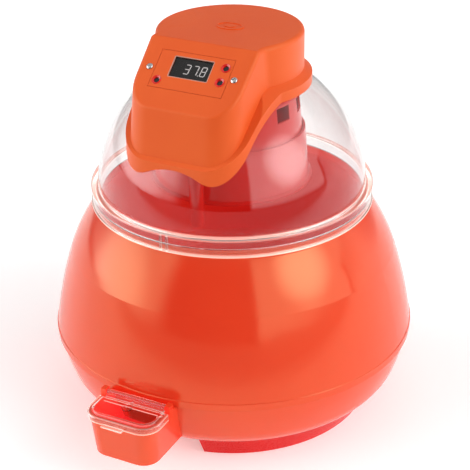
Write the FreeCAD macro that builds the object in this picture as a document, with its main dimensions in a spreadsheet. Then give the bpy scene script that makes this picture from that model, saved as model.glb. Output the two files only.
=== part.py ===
import FreeCAD, Part
import math
import os
import Sketcher

# Egg incubator with a clear dome, a thermostat head and a water spout.
# Millimetres. The origin is on the vertical axis at the floor, +Z is up and the front is -Y.

doc = FreeCAD.newDocument("egg_incubator")
sheet = doc.addObject("Spreadsheet::Sheet", "dims")


class Size:
    """A number together with the formula of sheet cells that it comes from."""

    def __init__(self, value, formula):
        self.value = float(value)
        self.formula = formula

    def _join(self, other, sign, value, flip=False):
        text = other.formula if isinstance(other, Size) else repr(float(other))
        pair = (text, self.formula) if flip else (self.formula, text)
        return Size(value, "(%s %s %s)" % (pair[0], sign, pair[1]))

    def __add__(self, other):
        return self._join(other, "+", self.value + number(other))

    def __radd__(self, other):
        return self._join(other, "+", number(other) + self.value, flip=True)

    def __sub__(self, other):
        return self._join(other, "-", self.value - number(other))

    def __rsub__(self, other):
        return self._join(other, "-", number(other) - self.value, flip=True)

    def __mul__(self, other):
        return self._join(other, "*", self.value * number(other))

    def __rmul__(self, other):
        return self._join(other, "*", number(other) * self.value, flip=True)

    def __truediv__(self, other):
        return self._join(other, "/", self.value / number(other))

    def __neg__(self):
        return self._join(-1, "*", -self.value)


def number(size):
    """The plain value of a Size or of a number."""
    return size.value if isinstance(size, Size) else float(size)


def driving(name, value):
    """Put one driving dimension in the next row of the sheet."""
    driving.row += 1
    sheet.set("A%d" % driving.row, name)
    sheet.set("B%d" % driving.row, repr(value))
    sheet.setAlias("B%d" % driving.row, name)
    return Size(value, "dims." + name)


driving.row = 0

# ---- driving dimensions -------------------------------------------------------------------

wall = driving("wall", 2.6)
gap = driving("gap", 0.4)

# base housing
foot_r = driving("foot_r", 137.0)
foot_top_r = driving("foot_top_r", 149.0)
foot_top = driving("foot_top", 26.0)
foot_gap_half = driving("foot_gap_half", 34.0)
pad_z = driving("pad_z", 1.2)
base_lip_r = driving("base_lip_r", 152.0)
base_mid_r = driving("base_mid_r", 169.5)
base_mid_z = driving("base_mid_z", 47.0)
rim_r = driving("rim_r", 177.6)
seam_z = driving("seam_z", 79.0)
seam_gap = driving("seam_gap", 1.0)
floor_z = driving("floor_z", 28.0)
ledge_z = driving("ledge_z", 62.0)
ledge_w = driving("ledge_w", 5.0)
channel_r = driving("channel_r", 108.0)
channel_top = driving("channel_top", 56.0)
boss_r = driving("boss_r", 14.0)
base_arc = driving("base_arc", 34.5)
side_arc = driving("side_arc", 142.0)
ledge_in = driving("ledge_in", 3.4)
port_w = driving("port_w", 48.0)
port_h = driving("port_h", 18.0)
port_reach = driving("port_reach", 34.0)
port_out = driving("port_out", 10.0)
foot_flange = driving("foot_flange", 122.0)
foot_gap_depth = driving("foot_gap_depth", 60.0)
post_r = driving("post_r", 8.0)
post_ring = driving("post_ring", 124.5)
pad_h = driving("pad_h", 6.0)
pad_over = driving("pad_over", 1.5)
tray_r = driving("tray_r", 170.6)
tray_t = driving("tray_t", 2.6)
tray_bar = driving("tray_bar", 3.0)

# bulb-shaped upper shell
bulb_r = driving("bulb_r", 180.0)
belly_r = driving("belly_r", 160.4)
belly_z = driving("belly_z", 165.0)
belly_arc = driving("belly_arc", 430.0)
shoulder_r = driving("shoulder_r", 132.0)
shoulder_z = driving("shoulder_z", 214.6)
shoulder_arc = driving("shoulder_arc", 186.0)
mouth_z = driving("mouth_z", 221.0)
skirt_r = driving("skirt_r", 172.2)
skirt_low = driving("skirt_low", 70.0)
rim_band = driving("rim_band", 6.5)
rim_step = driving("rim_step", 0.7)
slant = driving("slant", 1.05)

# clear dome
band_r = driving("band_r", 136.6)
band_top = driving("band_top", 232.5)
band_bead = driving("band_bead", 1.1)
dome_r = driving("dome_r", 131.0)
dome_z = driving("dome_z", 228.0)
dome_wall = driving("dome_wall", 2.0)
dome_hole_r = driving("dome_hole_r", 64.0)
key_w = driving("key_w", 7.5)
seat = driving("seat", 0.3)
bead_h = driving("bead_h", 1.6)
bead_run = driving("bead_run", 1.0)

# head
head_r = driving("head_r", 69.5)
head_top = driving("head_top", 386.6)
head_low = driving("head_low", 266.0)
nose_low_y = driving("nose_low_y", 116.8)
nose_top_y = driving("nose_top_y", 102.3)
cheek_low = driving("cheek_low", 56.0)
cheek_top = driving("cheek_top", 52.0)
cheek_spread = driving("cheek_spread", 7.0)
nose_corner = driving("nose_corner", 26.0)
neck_blend = driving("neck_blend", 16.0)
edge_round = driving("edge_round", 4.5)
lip_z = driving("lip_z", 8.0)
lip_front_z = driving("lip_front_z", 292.0)
lip_r = driving("lip_r", 77.1)
lip_half = driving("lip_half", 58.5)
lip_spread = driving("lip_spread", 15.0)
lip_y = driving("lip_y", 117.2)
lip_corner = driving("lip_corner", 36.0)
lip_blend = driving("lip_blend", 12.0)
lip_high = driving("lip_high", 356.6)
lip_slope = driving("lip_slope", 38.0)
nose_line = driving("nose_line", 90.0)
neck_front = driving("neck_front", 60.0)
neck_back = driving("neck_back", 15.0)
neck_rise = driving("neck_rise", 20.0)
crown_z = driving("crown_z", 330.0)
gland_z = driving("gland_z", 362.0)
gland_r = driving("gland_r", 6.0)
gland_bore = driving("gland_bore", 3.6)
gland_len = driving("gland_len", 16.0)
gland_in = driving("gland_in", 10.0)
gland_over = driving("gland_over", 2.0)
gland_cap = driving("gland_cap", 6.0)
gland_nut = driving("gland_nut", 3.5)
gland_nut_gap = driving("gland_nut_gap", 0.7)
cord_cut = driving("cord_cut", 30.0)
plate_t = driving("plate_t", 2.4)
boss_ring = driving("boss_ring", 57.0)
wire_hole_r = driving("wire_hole_r", 7.0)
wire_hole_y = driving("wire_hole_y", 20.0)
plate_screw_len = driving("plate_screw_len", 10.0)
emblem_long = driving("emblem_long", 14.0)
emblem_short = driving("emblem_short", 10.0)
emblem_ring = driving("emblem_ring", 2.2)
emblem_t = driving("emblem_t", 0.8)
emblem_share = driving("emblem_share", 2.4)

# sloping control panel: its local frame has x across, y up the slope and z outwards
panel_y = driving("panel_y", 76.4)
panel_z = driving("panel_z", 366.0)
panel_tilt = driving("panel_tilt", 39.6)
cover_w = driving("cover_w", 74.4)
cover_h = driving("cover_h", 39.4)
cover_t = driving("cover_t", 2.2)
window_x = driving("window_x", -2.1)
window_y = driving("window_y", 4.1)
window_w = driving("window_w", 39.8)
window_h = driving("window_h", 21.6)
screw_x = driving("screw_x", 42.8)
button_r = driving("button_r", 2.6)
collar_r = driving("collar_r", 4.5)
board_drop = driving("board_drop", 12.0)
left_x = driving("left_x", -31.0)
left_y = driving("left_y", -12.1)
upper_x = driving("upper_x", 30.6)
upper_y = driving("upper_y", 10.4)
lower_x = driving("lower_x", 30.1)
lower_y = driving("lower_y", -4.6)
collar_up = driving("collar_up", 0.5)
collar_edge = driving("collar_edge", 0.3)
dish_deep = driving("dish_deep", 0.4)
carrier_z = driving("carrier_z", -2.8)
carrier_t = driving("carrier_t", 2.2)
carrier_over = driving("carrier_over", 9.0)
carrier_short = driving("carrier_short", 4.0)
button_sink = driving("button_sink", 1.3)
button_play = driving("button_play", 0.15)
press = driving("press", 1.0)
flange_over = driving("flange_over", 1.0)
stem_flange_t = driving("stem_flange_t", 1.2)
board_t = driving("board_t", 1.6)
board_short = driving("board_short", 5.0)
spacer_r = driving("spacer_r", 2.4)
spacer_in = driving("spacer_in", 5.0)
spacer_in_y = driving("spacer_in_y", 6.0)
switch_w = driving("switch_w", 6.0)
switch_h = driving("switch_h", 1.6)
switch_gap = driving("switch_gap", 0.2)
panel_screw_len = driving("panel_screw_len", 8.0)
slot_w = driving("slot_w", 0.8)
slot_d = driving("slot_d", 0.7)

# heater drum under the head
flange_r = driving("flange_r", 77.8)
drum_low = driving("drum_low", 238.0)
drum_low_r = driving("drum_low_r", 75.0)
drum_top_r = driving("drum_top_r", 71.0)
drum_top = driving("drum_top", 288.0)
vent_low_r = driving("vent_low_r", 68.6)
vent_top_r = driving("vent_top_r", 62.4)
vent_top = driving("vent_top", 342.5)
vent_z = driving("vent_z", 308.0)
vent_h = driving("vent_h", 14.0)
vent_w = driving("vent_w", 17.0)
vent_count = driving("vent_count", 12.0)
collar_low = driving("collar_low", 283.0)
drum_wall = driving("drum_wall", 2.2)
collar_boss_r = driving("collar_boss_r", 4.6)
collar_boss_h = driving("collar_boss_h", 14.0)
clamp_drop = driving("clamp_drop", 8.5)
clamp_in = driving("clamp_in", 1.4)
clamp_over = driving("clamp_over", 3.5)
flange_in = driving("flange_in", 8.0)
flange_t = driving("flange_t", 1.8)
flange_rise = driving("flange_rise", 3.4)
flange_lip = driving("flange_lip", 2.4)
flange_crook = driving("flange_crook", 0.2)
grille_t = driving("grille_t", 2.0)

# fan and heater
fan_r = driving("fan_r", 46.0)
fan_z = driving("fan_z", 262.0)
fan_h = driving("fan_h", 12.0)
blade_count = driving("blade_count", 7.0)
motor_r = driving("motor_r", 19.0)
motor_z = driving("motor_z", 292.0)
motor_h = driving("motor_h", 34.0)
heater_r = driving("heater_r", 56.0)
heater_z = driving("heater_z", 253.0)
heater_wire = driving("heater_wire", 2.2)
shaft_r = driving("shaft_r", 1.5)
shaft_gap = driving("shaft_gap", 0.06)
shaft_in = driving("shaft_in", 14.0)
hub_r = driving("hub_r", 12.0)
blade_pitch = driving("blade_pitch", 32.0)
blade_w = driving("blade_w", 18.0)
blade_t = driving("blade_t", 1.8)
blade_root = driving("blade_root", 2.0)
motor_nose_r = driving("motor_nose_r", 6.0)
motor_nose_h = driving("motor_nose_h", 4.0)
motor_bore = driving("motor_bore", 24.0)
bracket_up = driving("bracket_up", 26.0)
bracket_w = driving("bracket_w", 3.0)
arm_r = driving("arm_r", 3.0)
arm_gap = driving("arm_gap", 0.3)
insulator_l = driving("insulator_l", 20.0)
insulator_w = driving("insulator_w", 7.0)
insulator_h = driving("insulator_h", 9.0)
insulator_out = driving("insulator_out", 5.0)
cutout_l = driving("cutout_l", 9.0)
cutout_w = driving("cutout_w", 14.0)
cutout_h = driving("cutout_h", 10.0)
cutout_angle = driving("cutout_angle", 150.0)
cutout_ring = driving("cutout_ring", 60.5)
cutout_z = driving("cutout_z", 277.0)

# probe tube
probe_x = driving("probe_x", 6.9)
probe_y = driving("probe_y", -85.4)
probe_r = driving("probe_r", 6.8)
probe_low = driving("probe_low", 221.0)
probe_top = driving("probe_top", 338.0)
tube_wall = driving("tube_wall", 1.8)
tube_over = driving("tube_over", 2.0)
tube_flange_t = driving("tube_flange_t", 2.0)
tube_flange_drop = driving("tube_flange_drop", 3.0)
sensor_r = driving("sensor_r", 3.0)
sensor_len = driving("sensor_len", 22.0)
sensor_up = driving("sensor_up", 2.2)

# water spout on the front of the base
spout_x = driving("spout_x", -5.0)
spout_w = driving("spout_w", 71.0)
spout_low_w = driving("spout_low_w", 65.0)
spout_front = driving("spout_front", 226.0)
spout_low_front = driving("spout_low_front", 222.0)
spout_top = driving("spout_top", 80.0)
spout_low = driving("spout_low", 37.5)
spout_corner = driving("spout_corner", 16.0)
hinge_y = driving("hinge_y", 188.5)
hinge_z = driving("hinge_z", 84.5)
hinge_half = driving("hinge_half", 31.0)
pin_r = driving("pin_r", 1.2)
trough_back = driving("trough_back", 150.0)
corner_line = driving("corner_line", 200.0)
ear_w = driving("ear_w", 5.0)
ear_d = driving("ear_d", 7.0)
ear_top = driving("ear_top", 3.2)
ear_root = driving("ear_root", 8.0)
lid_over = driving("lid_over", 1.8)
lid_t = driving("lid_t", 1.8)
lid_drop = driving("lid_drop", 4.5)
lid_step = driving("lid_step", 7.0)
lid_rise = driving("lid_rise", 2.2)
lid_back = driving("lid_back", 186.0)
lid_lip_back = driving("lid_lip_back", 9.0)
raise_in = driving("raise_in", 4.0)
dent_in = driving("dent_in", 6.0)
barrel_r = driving("barrel_r", 2.6)
pin_gap = driving("pin_gap", 0.08)
tab_w = driving("tab_w", 22.0)
tab_d = driving("tab_d", 6.0)
tab_x = driving("tab_x", -2.0)
tab_out = driving("tab_out", 1.5)
notch_w = driving("notch_w", 12.0)
notch_d = driving("notch_d", 16.0)
notch_in = driving("notch_in", 3.0)
drop_r = driving("drop_r", 4.6)
drop_t = driving("drop_t", 0.7)
drop_shoulder = driving("drop_shoulder", 0.94)
drop_length = driving("drop_length", 2.1)
drop_lift = driving("drop_lift", 0.34)
drop_tip = driving("drop_tip", 0.2)

# display
module_w = driving("module_w", 38.6)
module_h = driving("module_h", 20.6)
module_z = driving("module_z", -2.6)
digit_h = driving("digit_h", 12.6)
digit_w = driving("digit_w", 6.6)
digit_pitch = driving("digit_pitch", 11.2)
digit_stroke = driving("digit_stroke", 1.15)
first_digit = driving("first_digit", 0.7)
stroke_end = driving("stroke_end", 1.6)
stroke_side = driving("stroke_side", 1.4)
point_place = driving("point_place", 0.82)
glow_t = driving("glow_t", 0.3)
lens_z = driving("lens_z", -1.5)
lens_t = driving("lens_t", 0.6)

# inside the head
core_w = driving("core_w", 30.0)
core_d = driving("core_d", 22.0)
core_h = driving("core_h", 25.0)
coil_w = driving("coil_w", 20.0)
coil_d = driving("coil_d", 30.0)
coil_h = driving("coil_h", 17.0)
coil_up = driving("coil_up", 4.0)
transformer_x = driving("transformer_x", -14.0)
transformer_y = driving("transformer_y", 2.0)
terminal_w = driving("terminal_w", 32.0)
terminal_d = driving("terminal_d", 14.0)
terminal_h = driving("terminal_h", 12.0)
terminal_x = driving("terminal_x", 10.0)
terminal_y = driving("terminal_y", 44.0)
terminal_hole_r = driving("terminal_hole_r", 2.0)
terminal_pitch = driving("terminal_pitch", 7.5)

# screws, fits and cutting tools
screw_r = driving("screw_r", 1.6)
screw_head_r = driving("screw_head_r", 3.0)
screw_head_h = driving("screw_head_h", 1.6)
fit = driving("fit", 0.1)
drill = driving("drill", 20.0)
cut_over = driving("cut_over", 1.0)


# ---- modelling helpers --------------------------------------------------------------------

def bind(obj, prop, size):
    """Give a property its value, and its formula when it has one."""
    if isinstance(size, Size):
        obj.setExpression(prop, size.formula)


def place(obj, x=0, y=0, z=0):
    """Put an object at x, y, z, bound to the sheet."""
    obj.Placement = FreeCAD.Placement(FreeCAD.Vector(number(x), number(y), number(z)),
                                      obj.Placement.Rotation)
    for axis, size in zip("xyz", (x, y, z)):
        bind(obj, "Placement.Base." + axis, size)
    return obj


def turn(obj, axis, angle):
    """Turn an object about an axis through its own origin."""
    obj.Placement = FreeCAD.Placement(obj.Placement.Base,
                                      FreeCAD.Rotation(FreeCAD.Vector(*axis), number(angle)))
    bind(obj, "Placement.Rotation.Angle", angle)
    return obj


def sized(kind, name, sizes):
    """A Part primitive with its properties set from a dictionary of sizes."""
    obj = doc.addObject(kind, name)
    for prop, size in sizes.items():
        setattr(obj, prop, number(size))
        bind(obj, prop, size)
    return obj


def cylinder(name, radius, height, x=0, y=0, z=0):
    return place(sized("Part::Cylinder", name, {"Radius": radius, "Height": height}), x, y, z)


def cone(name, low_r, top_r, height, x=0, y=0, z=0):
    return place(sized("Part::Cone", name, {"Radius1": low_r, "Radius2": top_r, "Height": height}),
                 x, y, z)


def sphere(name, radius, z=0):
    return place(sized("Part::Sphere", name, {"Radius": radius}), z=z)


def torus(name, ring_r, wire_r, z=0):
    return place(sized("Part::Torus", name, {"Radius1": ring_r, "Radius2": wire_r}), z=z)


def box(name, width, depth, height, x=0, y=0, z=0):
    """A box centred on x and y, standing on z."""
    block = sized("Part::Box", name, {"Length": width, "Width": depth, "Height": height})
    return place(block, x - width / 2, y - depth / 2, z)


def fused(name, parts):
    obj = doc.addObject("Part::MultiFuse", name)
    obj.Shapes = parts
    return obj


def common(name, parts):
    obj = doc.addObject("Part::MultiCommon", name)
    obj.Shapes = parts
    return obj


def group(name, parts):
    """Separate solids that share one sub-part."""
    obj = doc.addObject("Part::Compound", name)
    obj.Links = parts
    return obj


def cut(name, body, tools):
    """A body with one or more tools taken away."""
    for index, tool in enumerate(tools):
        step = doc.addObject("Part::Cut", "%s_cut%d" % (name, index))
        step.Base = body
        step.Tool = tool
        body = step
    return body


def around(count, angle0=0.0):
    """Angles of equally spaced items on a circle, in degrees."""
    return [angle0 + 360.0 * index / count for index in range(count)]


def orbit(obj, angle, radius, z=0):
    """Move a round object from the axis to a polar place."""
    a = math.radians(angle)
    return place(obj, radius * math.cos(a), radius * math.sin(a), z)


def orbit_box(name, length, width, height, angle, radius, z, pitch=0.0):
    """A box centred on a polar place, its length pointing outwards, pitched about its length."""
    block = sized("Part::Box", name, {"Length": length, "Width": width, "Height": height})
    spin = FreeCAD.Rotation(FreeCAD.Vector(0, 0, 1), angle)
    pose = spin.multiply(FreeCAD.Rotation(FreeCAD.Vector(1, 0, 0), pitch))
    middle = spin.multVec(FreeCAD.Vector(number(radius), 0, number(z)))
    corner = FreeCAD.Vector(number(length), number(width), number(height)) * -0.5
    block.Placement = FreeCAD.Placement(middle + pose.multVec(corner), pose)
    return block


def origin_plane(body, role):
    return next(item for item in body.Origin.OriginFeatures if item.Role == role)


def arc_between(start, end, radius, side):
    """Arc of a given radius that bulges to the right (side 1) or left (side -1) of the travel.

    A sketch keeps every arc anticlockwise, so a left bulge is stored from its end to its start.
    """
    chord = FreeCAD.Vector(end[0] - start[0], end[1] - start[1], 0)
    middle = FreeCAD.Vector((start[0] + end[0]) / 2, (start[1] + end[1]) / 2, 0)
    across = FreeCAD.Vector(chord.y, -chord.x, 0).normalize()
    centre = middle - across * (side * math.sqrt(radius ** 2 - chord.Length ** 2 / 4))
    angles = [math.atan2(p[1] - centre.y, p[0] - centre.x) for p in (start, end)][::side]
    if angles[1] < angles[0]:
        angles[1] += 2 * math.pi
    return Part.ArcOfCircle(Part.Circle(centre, FreeCAD.Vector(0, 0, 1), radius), *angles)


def outline(sketch, corners):
    """Draw a closed outline whose corner places are dimensioned from the origin.

    A corner is (u, v) for a straight edge to the next corner, or (u, v, radius, side) for an
    arc to it.
    """
    flat = [(number(c[0]), number(c[1])) for c in corners]
    first, last = [], []
    for i, corner in enumerate(corners):
        start, end = flat[i], flat[(i + 1) % len(corners)]
        if len(corner) == 2:
            sketch.addGeometry(Part.LineSegment(FreeCAD.Vector(*start, 0),
                                                FreeCAD.Vector(*end, 0)), False)
        else:
            sketch.addGeometry(arc_between(start, end, number(corner[2]), corner[3]), False)
        backwards = len(corner) > 2 and corner[3] < 0
        first.append(2 if backwards else 1)
        last.append(1 if backwards else 2)
    for i in range(len(corners)):
        j = (i + 1) % len(corners)
        sketch.addConstraint(Sketcher.Constraint("Coincident", i, last[i], j, first[j]))
    for i, corner in enumerate(corners):
        for kind, size in (("DistanceX", corner[0]), ("DistanceY", corner[1])):
            n = sketch.addConstraint(Sketcher.Constraint(kind, -1, 1, i, first[i], number(size)))
            bind(sketch, "Constraints[%d]" % n, size)
        if len(corner) > 2:
            n = sketch.addConstraint(Sketcher.Constraint("Radius", i, number(corner[2])))
            bind(sketch, "Constraints[%d]" % n, corner[2])


def new_body(name):
    """An empty PartDesign body."""
    return doc.addObject("PartDesign::Body", name)


def sketch_on(body, name, role, corners, offset=None):
    """A closed sketch on one of a body's own origin planes."""
    sketch = body.newObject("Sketcher::SketchObject", name)
    sketch.AttachmentSupport = [(origin_plane(body, role), "")]
    sketch.MapMode = "FlatFace"
    if offset is not None:
        sketch.AttachmentOffset = FreeCAD.Placement(FreeCAD.Vector(0, 0, number(offset)),
                                                    FreeCAD.Rotation())
        bind(sketch, "AttachmentOffset.Base.z", offset)
    outline(sketch, corners)
    return sketch


def turned(name, corners):
    """A body of revolution about the vertical axis; corners are (radius, height)."""
    body = new_body(name)
    sketch = sketch_on(body, name + "_profile", "XZ_Plane", corners)
    feature = body.newObject("PartDesign::Revolution", name + "_turn")
    feature.Profile = sketch
    feature.ReferenceAxis = (origin_plane(body, "Z_Axis"), [""])
    feature.Angle = 360
    return body


def lofted(body, name, low, top):
    """Add a straight loft between two plan outlines, each (corners, height)."""
    sections = [sketch_on(body, "%s_%s" % (name, tag), "XY_Plane", corners, height)
                for tag, (corners, height) in (("low", low), ("top", top))]
    feature = body.newObject("PartDesign::AdditiveLoft", name)
    feature.Profile = sections[1]
    feature.Sections = [sections[0]]
    feature.Ruled = True
    return feature


def rounded(body, name, edges, radius):
    """Fillet the edges of a body's tip that a test picks."""
    doc.recompute()
    base = body.Tip
    names = ["Edge%d" % (i + 1) for i, edge in enumerate(base.Shape.Edges) if edges(edge)]
    feature = body.newObject("PartDesign::Fillet", name)
    feature.Base = (base, names)
    feature.Radius = number(radius)
    bind(feature, "Radius", radius)
    return feature


def sub_part(label, obj):
    """Name the finished object of one sub-part and keep it for export."""
    obj.Label = label
    sub_parts.append(obj)
    return obj


sub_parts = []


# Bearings of the four posts, pads, bosses and screws
FOUR = around(4, 45)


# ---- base ---------------------------------------------------------------------------------

rim_z = seam_z - seam_gap
ledge_out = rim_r - wall - ledge_in

OUTER_BASE = [(base_lip_r, foot_top, base_arc, 1), (base_mid_r, base_mid_z, side_arc, 1),
              (rim_r, rim_z)]


def base_basin():
    """Round housing that holds the water, with a ledge and a centre boss for the tray."""
    profile = turned("basin_turned", [(0, foot_top)] + OUTER_BASE + [
        (rim_r - wall, rim_z), (ledge_out, ledge_z), (ledge_out - ledge_w, ledge_z),
        (ledge_out - ledge_w, base_mid_z, base_arc, -1), (base_lip_r - wall, floor_z),
        (boss_r, floor_z), (boss_r, ledge_z), (0, ledge_z)])
    port = box("filling_port", port_w, port_reach, port_h, spout_x,
               port_reach / 2 - base_mid_r - port_out, spout_low + wall)
    return sub_part("base_basin", cut("basin", profile, [port]))


def channel_ring():
    """Upright ring on the basin's floor that parts the inner water channel from the outer one."""
    inner, outer = channel_r - wall / 2, channel_r + wall / 2
    return sub_part("channel_ring", turned("channel_turned", [
        (inner, floor_z), (outer, floor_z), (outer, channel_top), (inner, channel_top)]))


def foot_ring():
    """Standing ring under the housing, open at the front under the spout, with four posts."""
    ring = turned("foot_turned", [
        (foot_r, pad_z), (foot_top_r, foot_top), (foot_flange, foot_top),
        (foot_flange, foot_top - wall), (foot_top_r - 2 * wall, foot_top - wall),
        (foot_r - wall, pad_z)])
    posts = [orbit(cylinder("foot_post%d" % i, post_r, foot_top - pad_h), angle, post_ring, pad_h)
             for i, angle in enumerate(FOUR)]
    gap_box = box("foot_gap", 2 * foot_gap_half, foot_gap_depth, foot_top, 0, -foot_top_r)
    holes = [orbit(cylinder("foot_hole%d" % i, screw_r, foot_top * 2), angle, post_ring)
             for i, angle in enumerate(FOUR)]
    return sub_part("foot_ring", cut("foot", fused("foot_solid", [ring] + posts),
                                     [gap_box] + holes))


def rubber_feet():
    """Four soft pads on the posts; their undersides are what the incubator stands on."""
    pads = [orbit(cylinder("rubber_pad%d" % i, post_r + pad_over, pad_h), angle, post_ring)
            for i, angle in enumerate(FOUR)]
    wells = [orbit(cylinder("pad_well%d" % i, screw_head_r + gap, pad_h), angle, post_ring, wall)
             for i, angle in enumerate(FOUR)]
    return sub_part("rubber_feet", group("pads", [
        cut("pad%d" % i, pad, [well]) for i, (pad, well) in enumerate(zip(pads, wells))]))


def foot_screws():
    """Screws up through the pads and posts into the housing floor."""
    screws = []
    for i, angle in enumerate(FOUR):
        head = orbit(cylinder("foot_head%d" % i, screw_head_r, screw_head_h), angle, post_ring,
                     pad_h - screw_head_h)
        shank = orbit(cylinder("foot_shank%d" % i, screw_r, foot_top - pad_h), angle, post_ring,
                      pad_h)
        screws.append(fused("foot_screw%d" % i, [head, shank]))
    return sub_part("foot_screws", group("foot_screw_set", screws))


def slotted_disc(name, radius, thickness, z, rows, bar):
    """A flat disc with rings of trapezoid slots; rows are (inner radius, outer radius, count)."""
    body = turned(name, [(0, z), (radius, z), (radius, z + thickness), (0, z + thickness)])
    doc.recompute()
    for k, (inner, outer, count) in enumerate(rows):
        half = math.pi / count
        low = inner * math.tan(half) - bar / 2
        high = outer * math.tan(half) - bar / 2
        slot = sketch_on(body, "%s_slot%d" % (name, k), "XY_Plane",
                         [(inner, -low), (outer, -high), (outer, high), (inner, low)], z)
        pocket = body.newObject("PartDesign::Pocket", "%s_pocket%d" % (name, k))
        pocket.Profile = slot
        pocket.Midplane = True
        pocket.Length = number(thickness) * 4
        doc.recompute()
        ring = body.newObject("PartDesign::PolarPattern", "%s_ring%d" % (name, k))
        ring.Originals = [pocket]
        ring.Axis = (slot, ["N_Axis"])
        ring.Occurrences = count
        body.Tip = ring
        doc.recompute()
    return body


# Inner radius, outer radius and count of each ring of slots in the tray
TRAY_ROWS = [(22, 50, 10), (56, 84, 16), (90, 120, 22), (126, 160, 28)]


def egg_tray():
    """Round slotted floor that the eggs lie on, resting on the ledge and the centre boss."""
    disc = slotted_disc("tray_disc", tray_r, tray_t, ledge_z, TRAY_ROWS, tray_bar)
    return sub_part("egg_tray", disc)


# ---- water spout --------------------------------------------------------------------------

def plan(front_half, back_half, front, back, middle=0):
    """Plan outline with its front edge at y = -front and its back edge at y = -back."""
    return [(middle - front_half, -front), (middle + front_half, -front),
            (middle + back_half, -back), (middle - back_half, -back)]


def upright_corner(y_limit):
    """Test for the near-vertical edges in front of a line."""
    def test(edge):
        a, b = edge.Vertexes[0].Point, edge.Vertexes[-1].Point
        rise = abs(b.z - a.z)
        return rise > 0.8 * (b - a).Length and rise > 1 and max(a.y, b.y) < -number(y_limit)
    return test


def trough_solid(name, inset, low, top, back):
    """Tapered trough block with rounded front corners."""
    body = new_body(name)
    low_half, top_half = spout_low_w / 2 - inset, spout_w / 2 - inset
    lofted(body, name + "_loft",
           (plan(low_half, low_half, spout_low_front - inset, back, spout_x), low),
           (plan(top_half, top_half, spout_front - inset, back, spout_x), top))
    rounded(body, name + "_corners", upright_corner(corner_line), spout_corner - inset)
    return body


def water_spout():
    """Filling trough in front of the housing, with two ears for the lid's hinge."""
    block = trough_solid("trough_block", 0, spout_low, spout_top, trough_back)
    hollow = trough_solid("trough_hollow", wall, spout_low + wall, spout_top + wall,
                          trough_back - port_out)
    trim = turned("trough_trim", [(0, foot_top)] + OUTER_BASE + [
        (bulb_r + gap * 3, rim_z), (bulb_r + gap * 3, spout_top * 2), (0, spout_top * 2)])
    shell_open = cut("trough", block, [hollow, trim])
    ear_h = hinge_z + ear_top - spout_top + ear_root
    ears = [box("ear%d" % i, ear_w, ear_d, ear_h, spout_x + side * (hinge_half + ear_w / 2 + gap),
                -hinge_y, spout_top - ear_root)
            for i, side in enumerate((-1, 1))]
    hole = turn(cylinder("ear_hole", pin_r, 2 * hinge_half + 4 * ear_w), (0, 1, 0), 90)
    place(hole, spout_x - hinge_half - 2 * ear_w, -hinge_y, hinge_z)
    return sub_part("water_spout", cut("spout", fused("spout_solid", [shell_open] + ears), [hole]))


def spout_hinge_pin():
    """Steel pin through both ears."""
    length = 2 * (hinge_half + ear_w + gap)
    pin = turn(cylinder("spout_pin", pin_r, length), (0, 1, 0), 90)
    place(pin, spout_x - hinge_half - ear_w - gap, -hinge_y, hinge_z)
    return sub_part("spout_hinge_pin", pin)


def lid_block(name, side, low, top, back):
    """Plan shape of the lid, grown sideways from the trough's mouth."""
    body = new_body(name)
    half = spout_w / 2 + side
    shape = plan(half, half, spout_front + side, back, spout_x)
    lofted(body, name + "_loft", (shape, low), (shape, top))
    rounded(body, name + "_corners", upright_corner(corner_line), spout_corner + side)
    return body


def spout_lid():
    """Clear lid with a skirt, a raised middle, a thumb tab and a hinge barrel."""
    skirt = lid_block("lid_skirt", lid_over, spout_top - lid_drop, spout_top + gap + lid_t, lid_back)
    inside = lid_block("lid_inside", gap, spout_top - 2 * lid_drop, spout_top + gap,
                       lid_back - lid_lip_back)
    raised = lid_block("lid_raised", -lid_step, spout_top + gap, spout_top + gap + lid_t + lid_rise,
                       lid_back + raise_in)
    dent = lid_block("lid_dent", -lid_step - lid_t, spout_top - lid_drop,
                     spout_top + gap + lid_rise, lid_back + dent_in)
    tab = box("lid_tab", tab_w, tab_d, lid_t, spout_x + tab_x,
              -(spout_front + lid_over + tab_out), spout_top - lid_drop)
    barrel = turn(cylinder("lid_barrel", barrel_r, 2 * hinge_half), (0, 1, 0), 90)
    place(barrel, spout_x - hinge_half, -hinge_y, hinge_z)
    web = box("lid_web", 2 * hinge_half, barrel_r, hinge_z - spout_top - gap, spout_x,
              -hinge_y, spout_top + gap)
    bore = turn(cylinder("lid_bore", pin_r + pin_gap, 3 * hinge_half), (0, 1, 0), 90)
    place(bore, spout_x - 1.5 * hinge_half, -hinge_y, hinge_z)
    notches = [box("lid_notch%d" % i, notch_w, notch_d, 4 * lid_drop,
                   spout_x + side * (hinge_half + notch_w / 2), notch_in - hinge_y,
                   spout_top - 2 * lid_drop)
               for i, side in enumerate((-1, 1))]
    plate = cut("lid_plate", skirt, [inside] + notches)
    solid = fused("lid_solid", [plate, raised, tab, barrel, web])
    return sub_part("spout_lid", cut("lid", solid, [dent, bore]))


def spout_lid_emblem():
    """Raised water-drop sign on the lid."""
    top = spout_top + gap + lid_t + lid_rise
    middle_y = -(spout_front + lid_back) / 2
    drop = cylinder("drop_round", drop_r, drop_t, spout_x, middle_y, top)
    tip = doc.addObject("Part::Wedge", "drop_tip")
    half = drop_r * drop_shoulder
    for prop, size in {"Xmin": -half, "Xmax": half, "X2min": -drop_tip, "X2max": drop_tip,
                       "Ymin": 0, "Ymax": drop_r * drop_length, "Zmin": 0, "Zmax": drop_t,
                       "Z2min": 0, "Z2max": drop_t}.items():
        setattr(tip, prop, number(size))
        bind(tip, prop, size)
    place(tip, spout_x, middle_y + drop_r * drop_lift, top)
    return sub_part("spout_lid_emblem", fused("drop", [drop, tip]))


# ---- upper shell --------------------------------------------------------------------------


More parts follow.
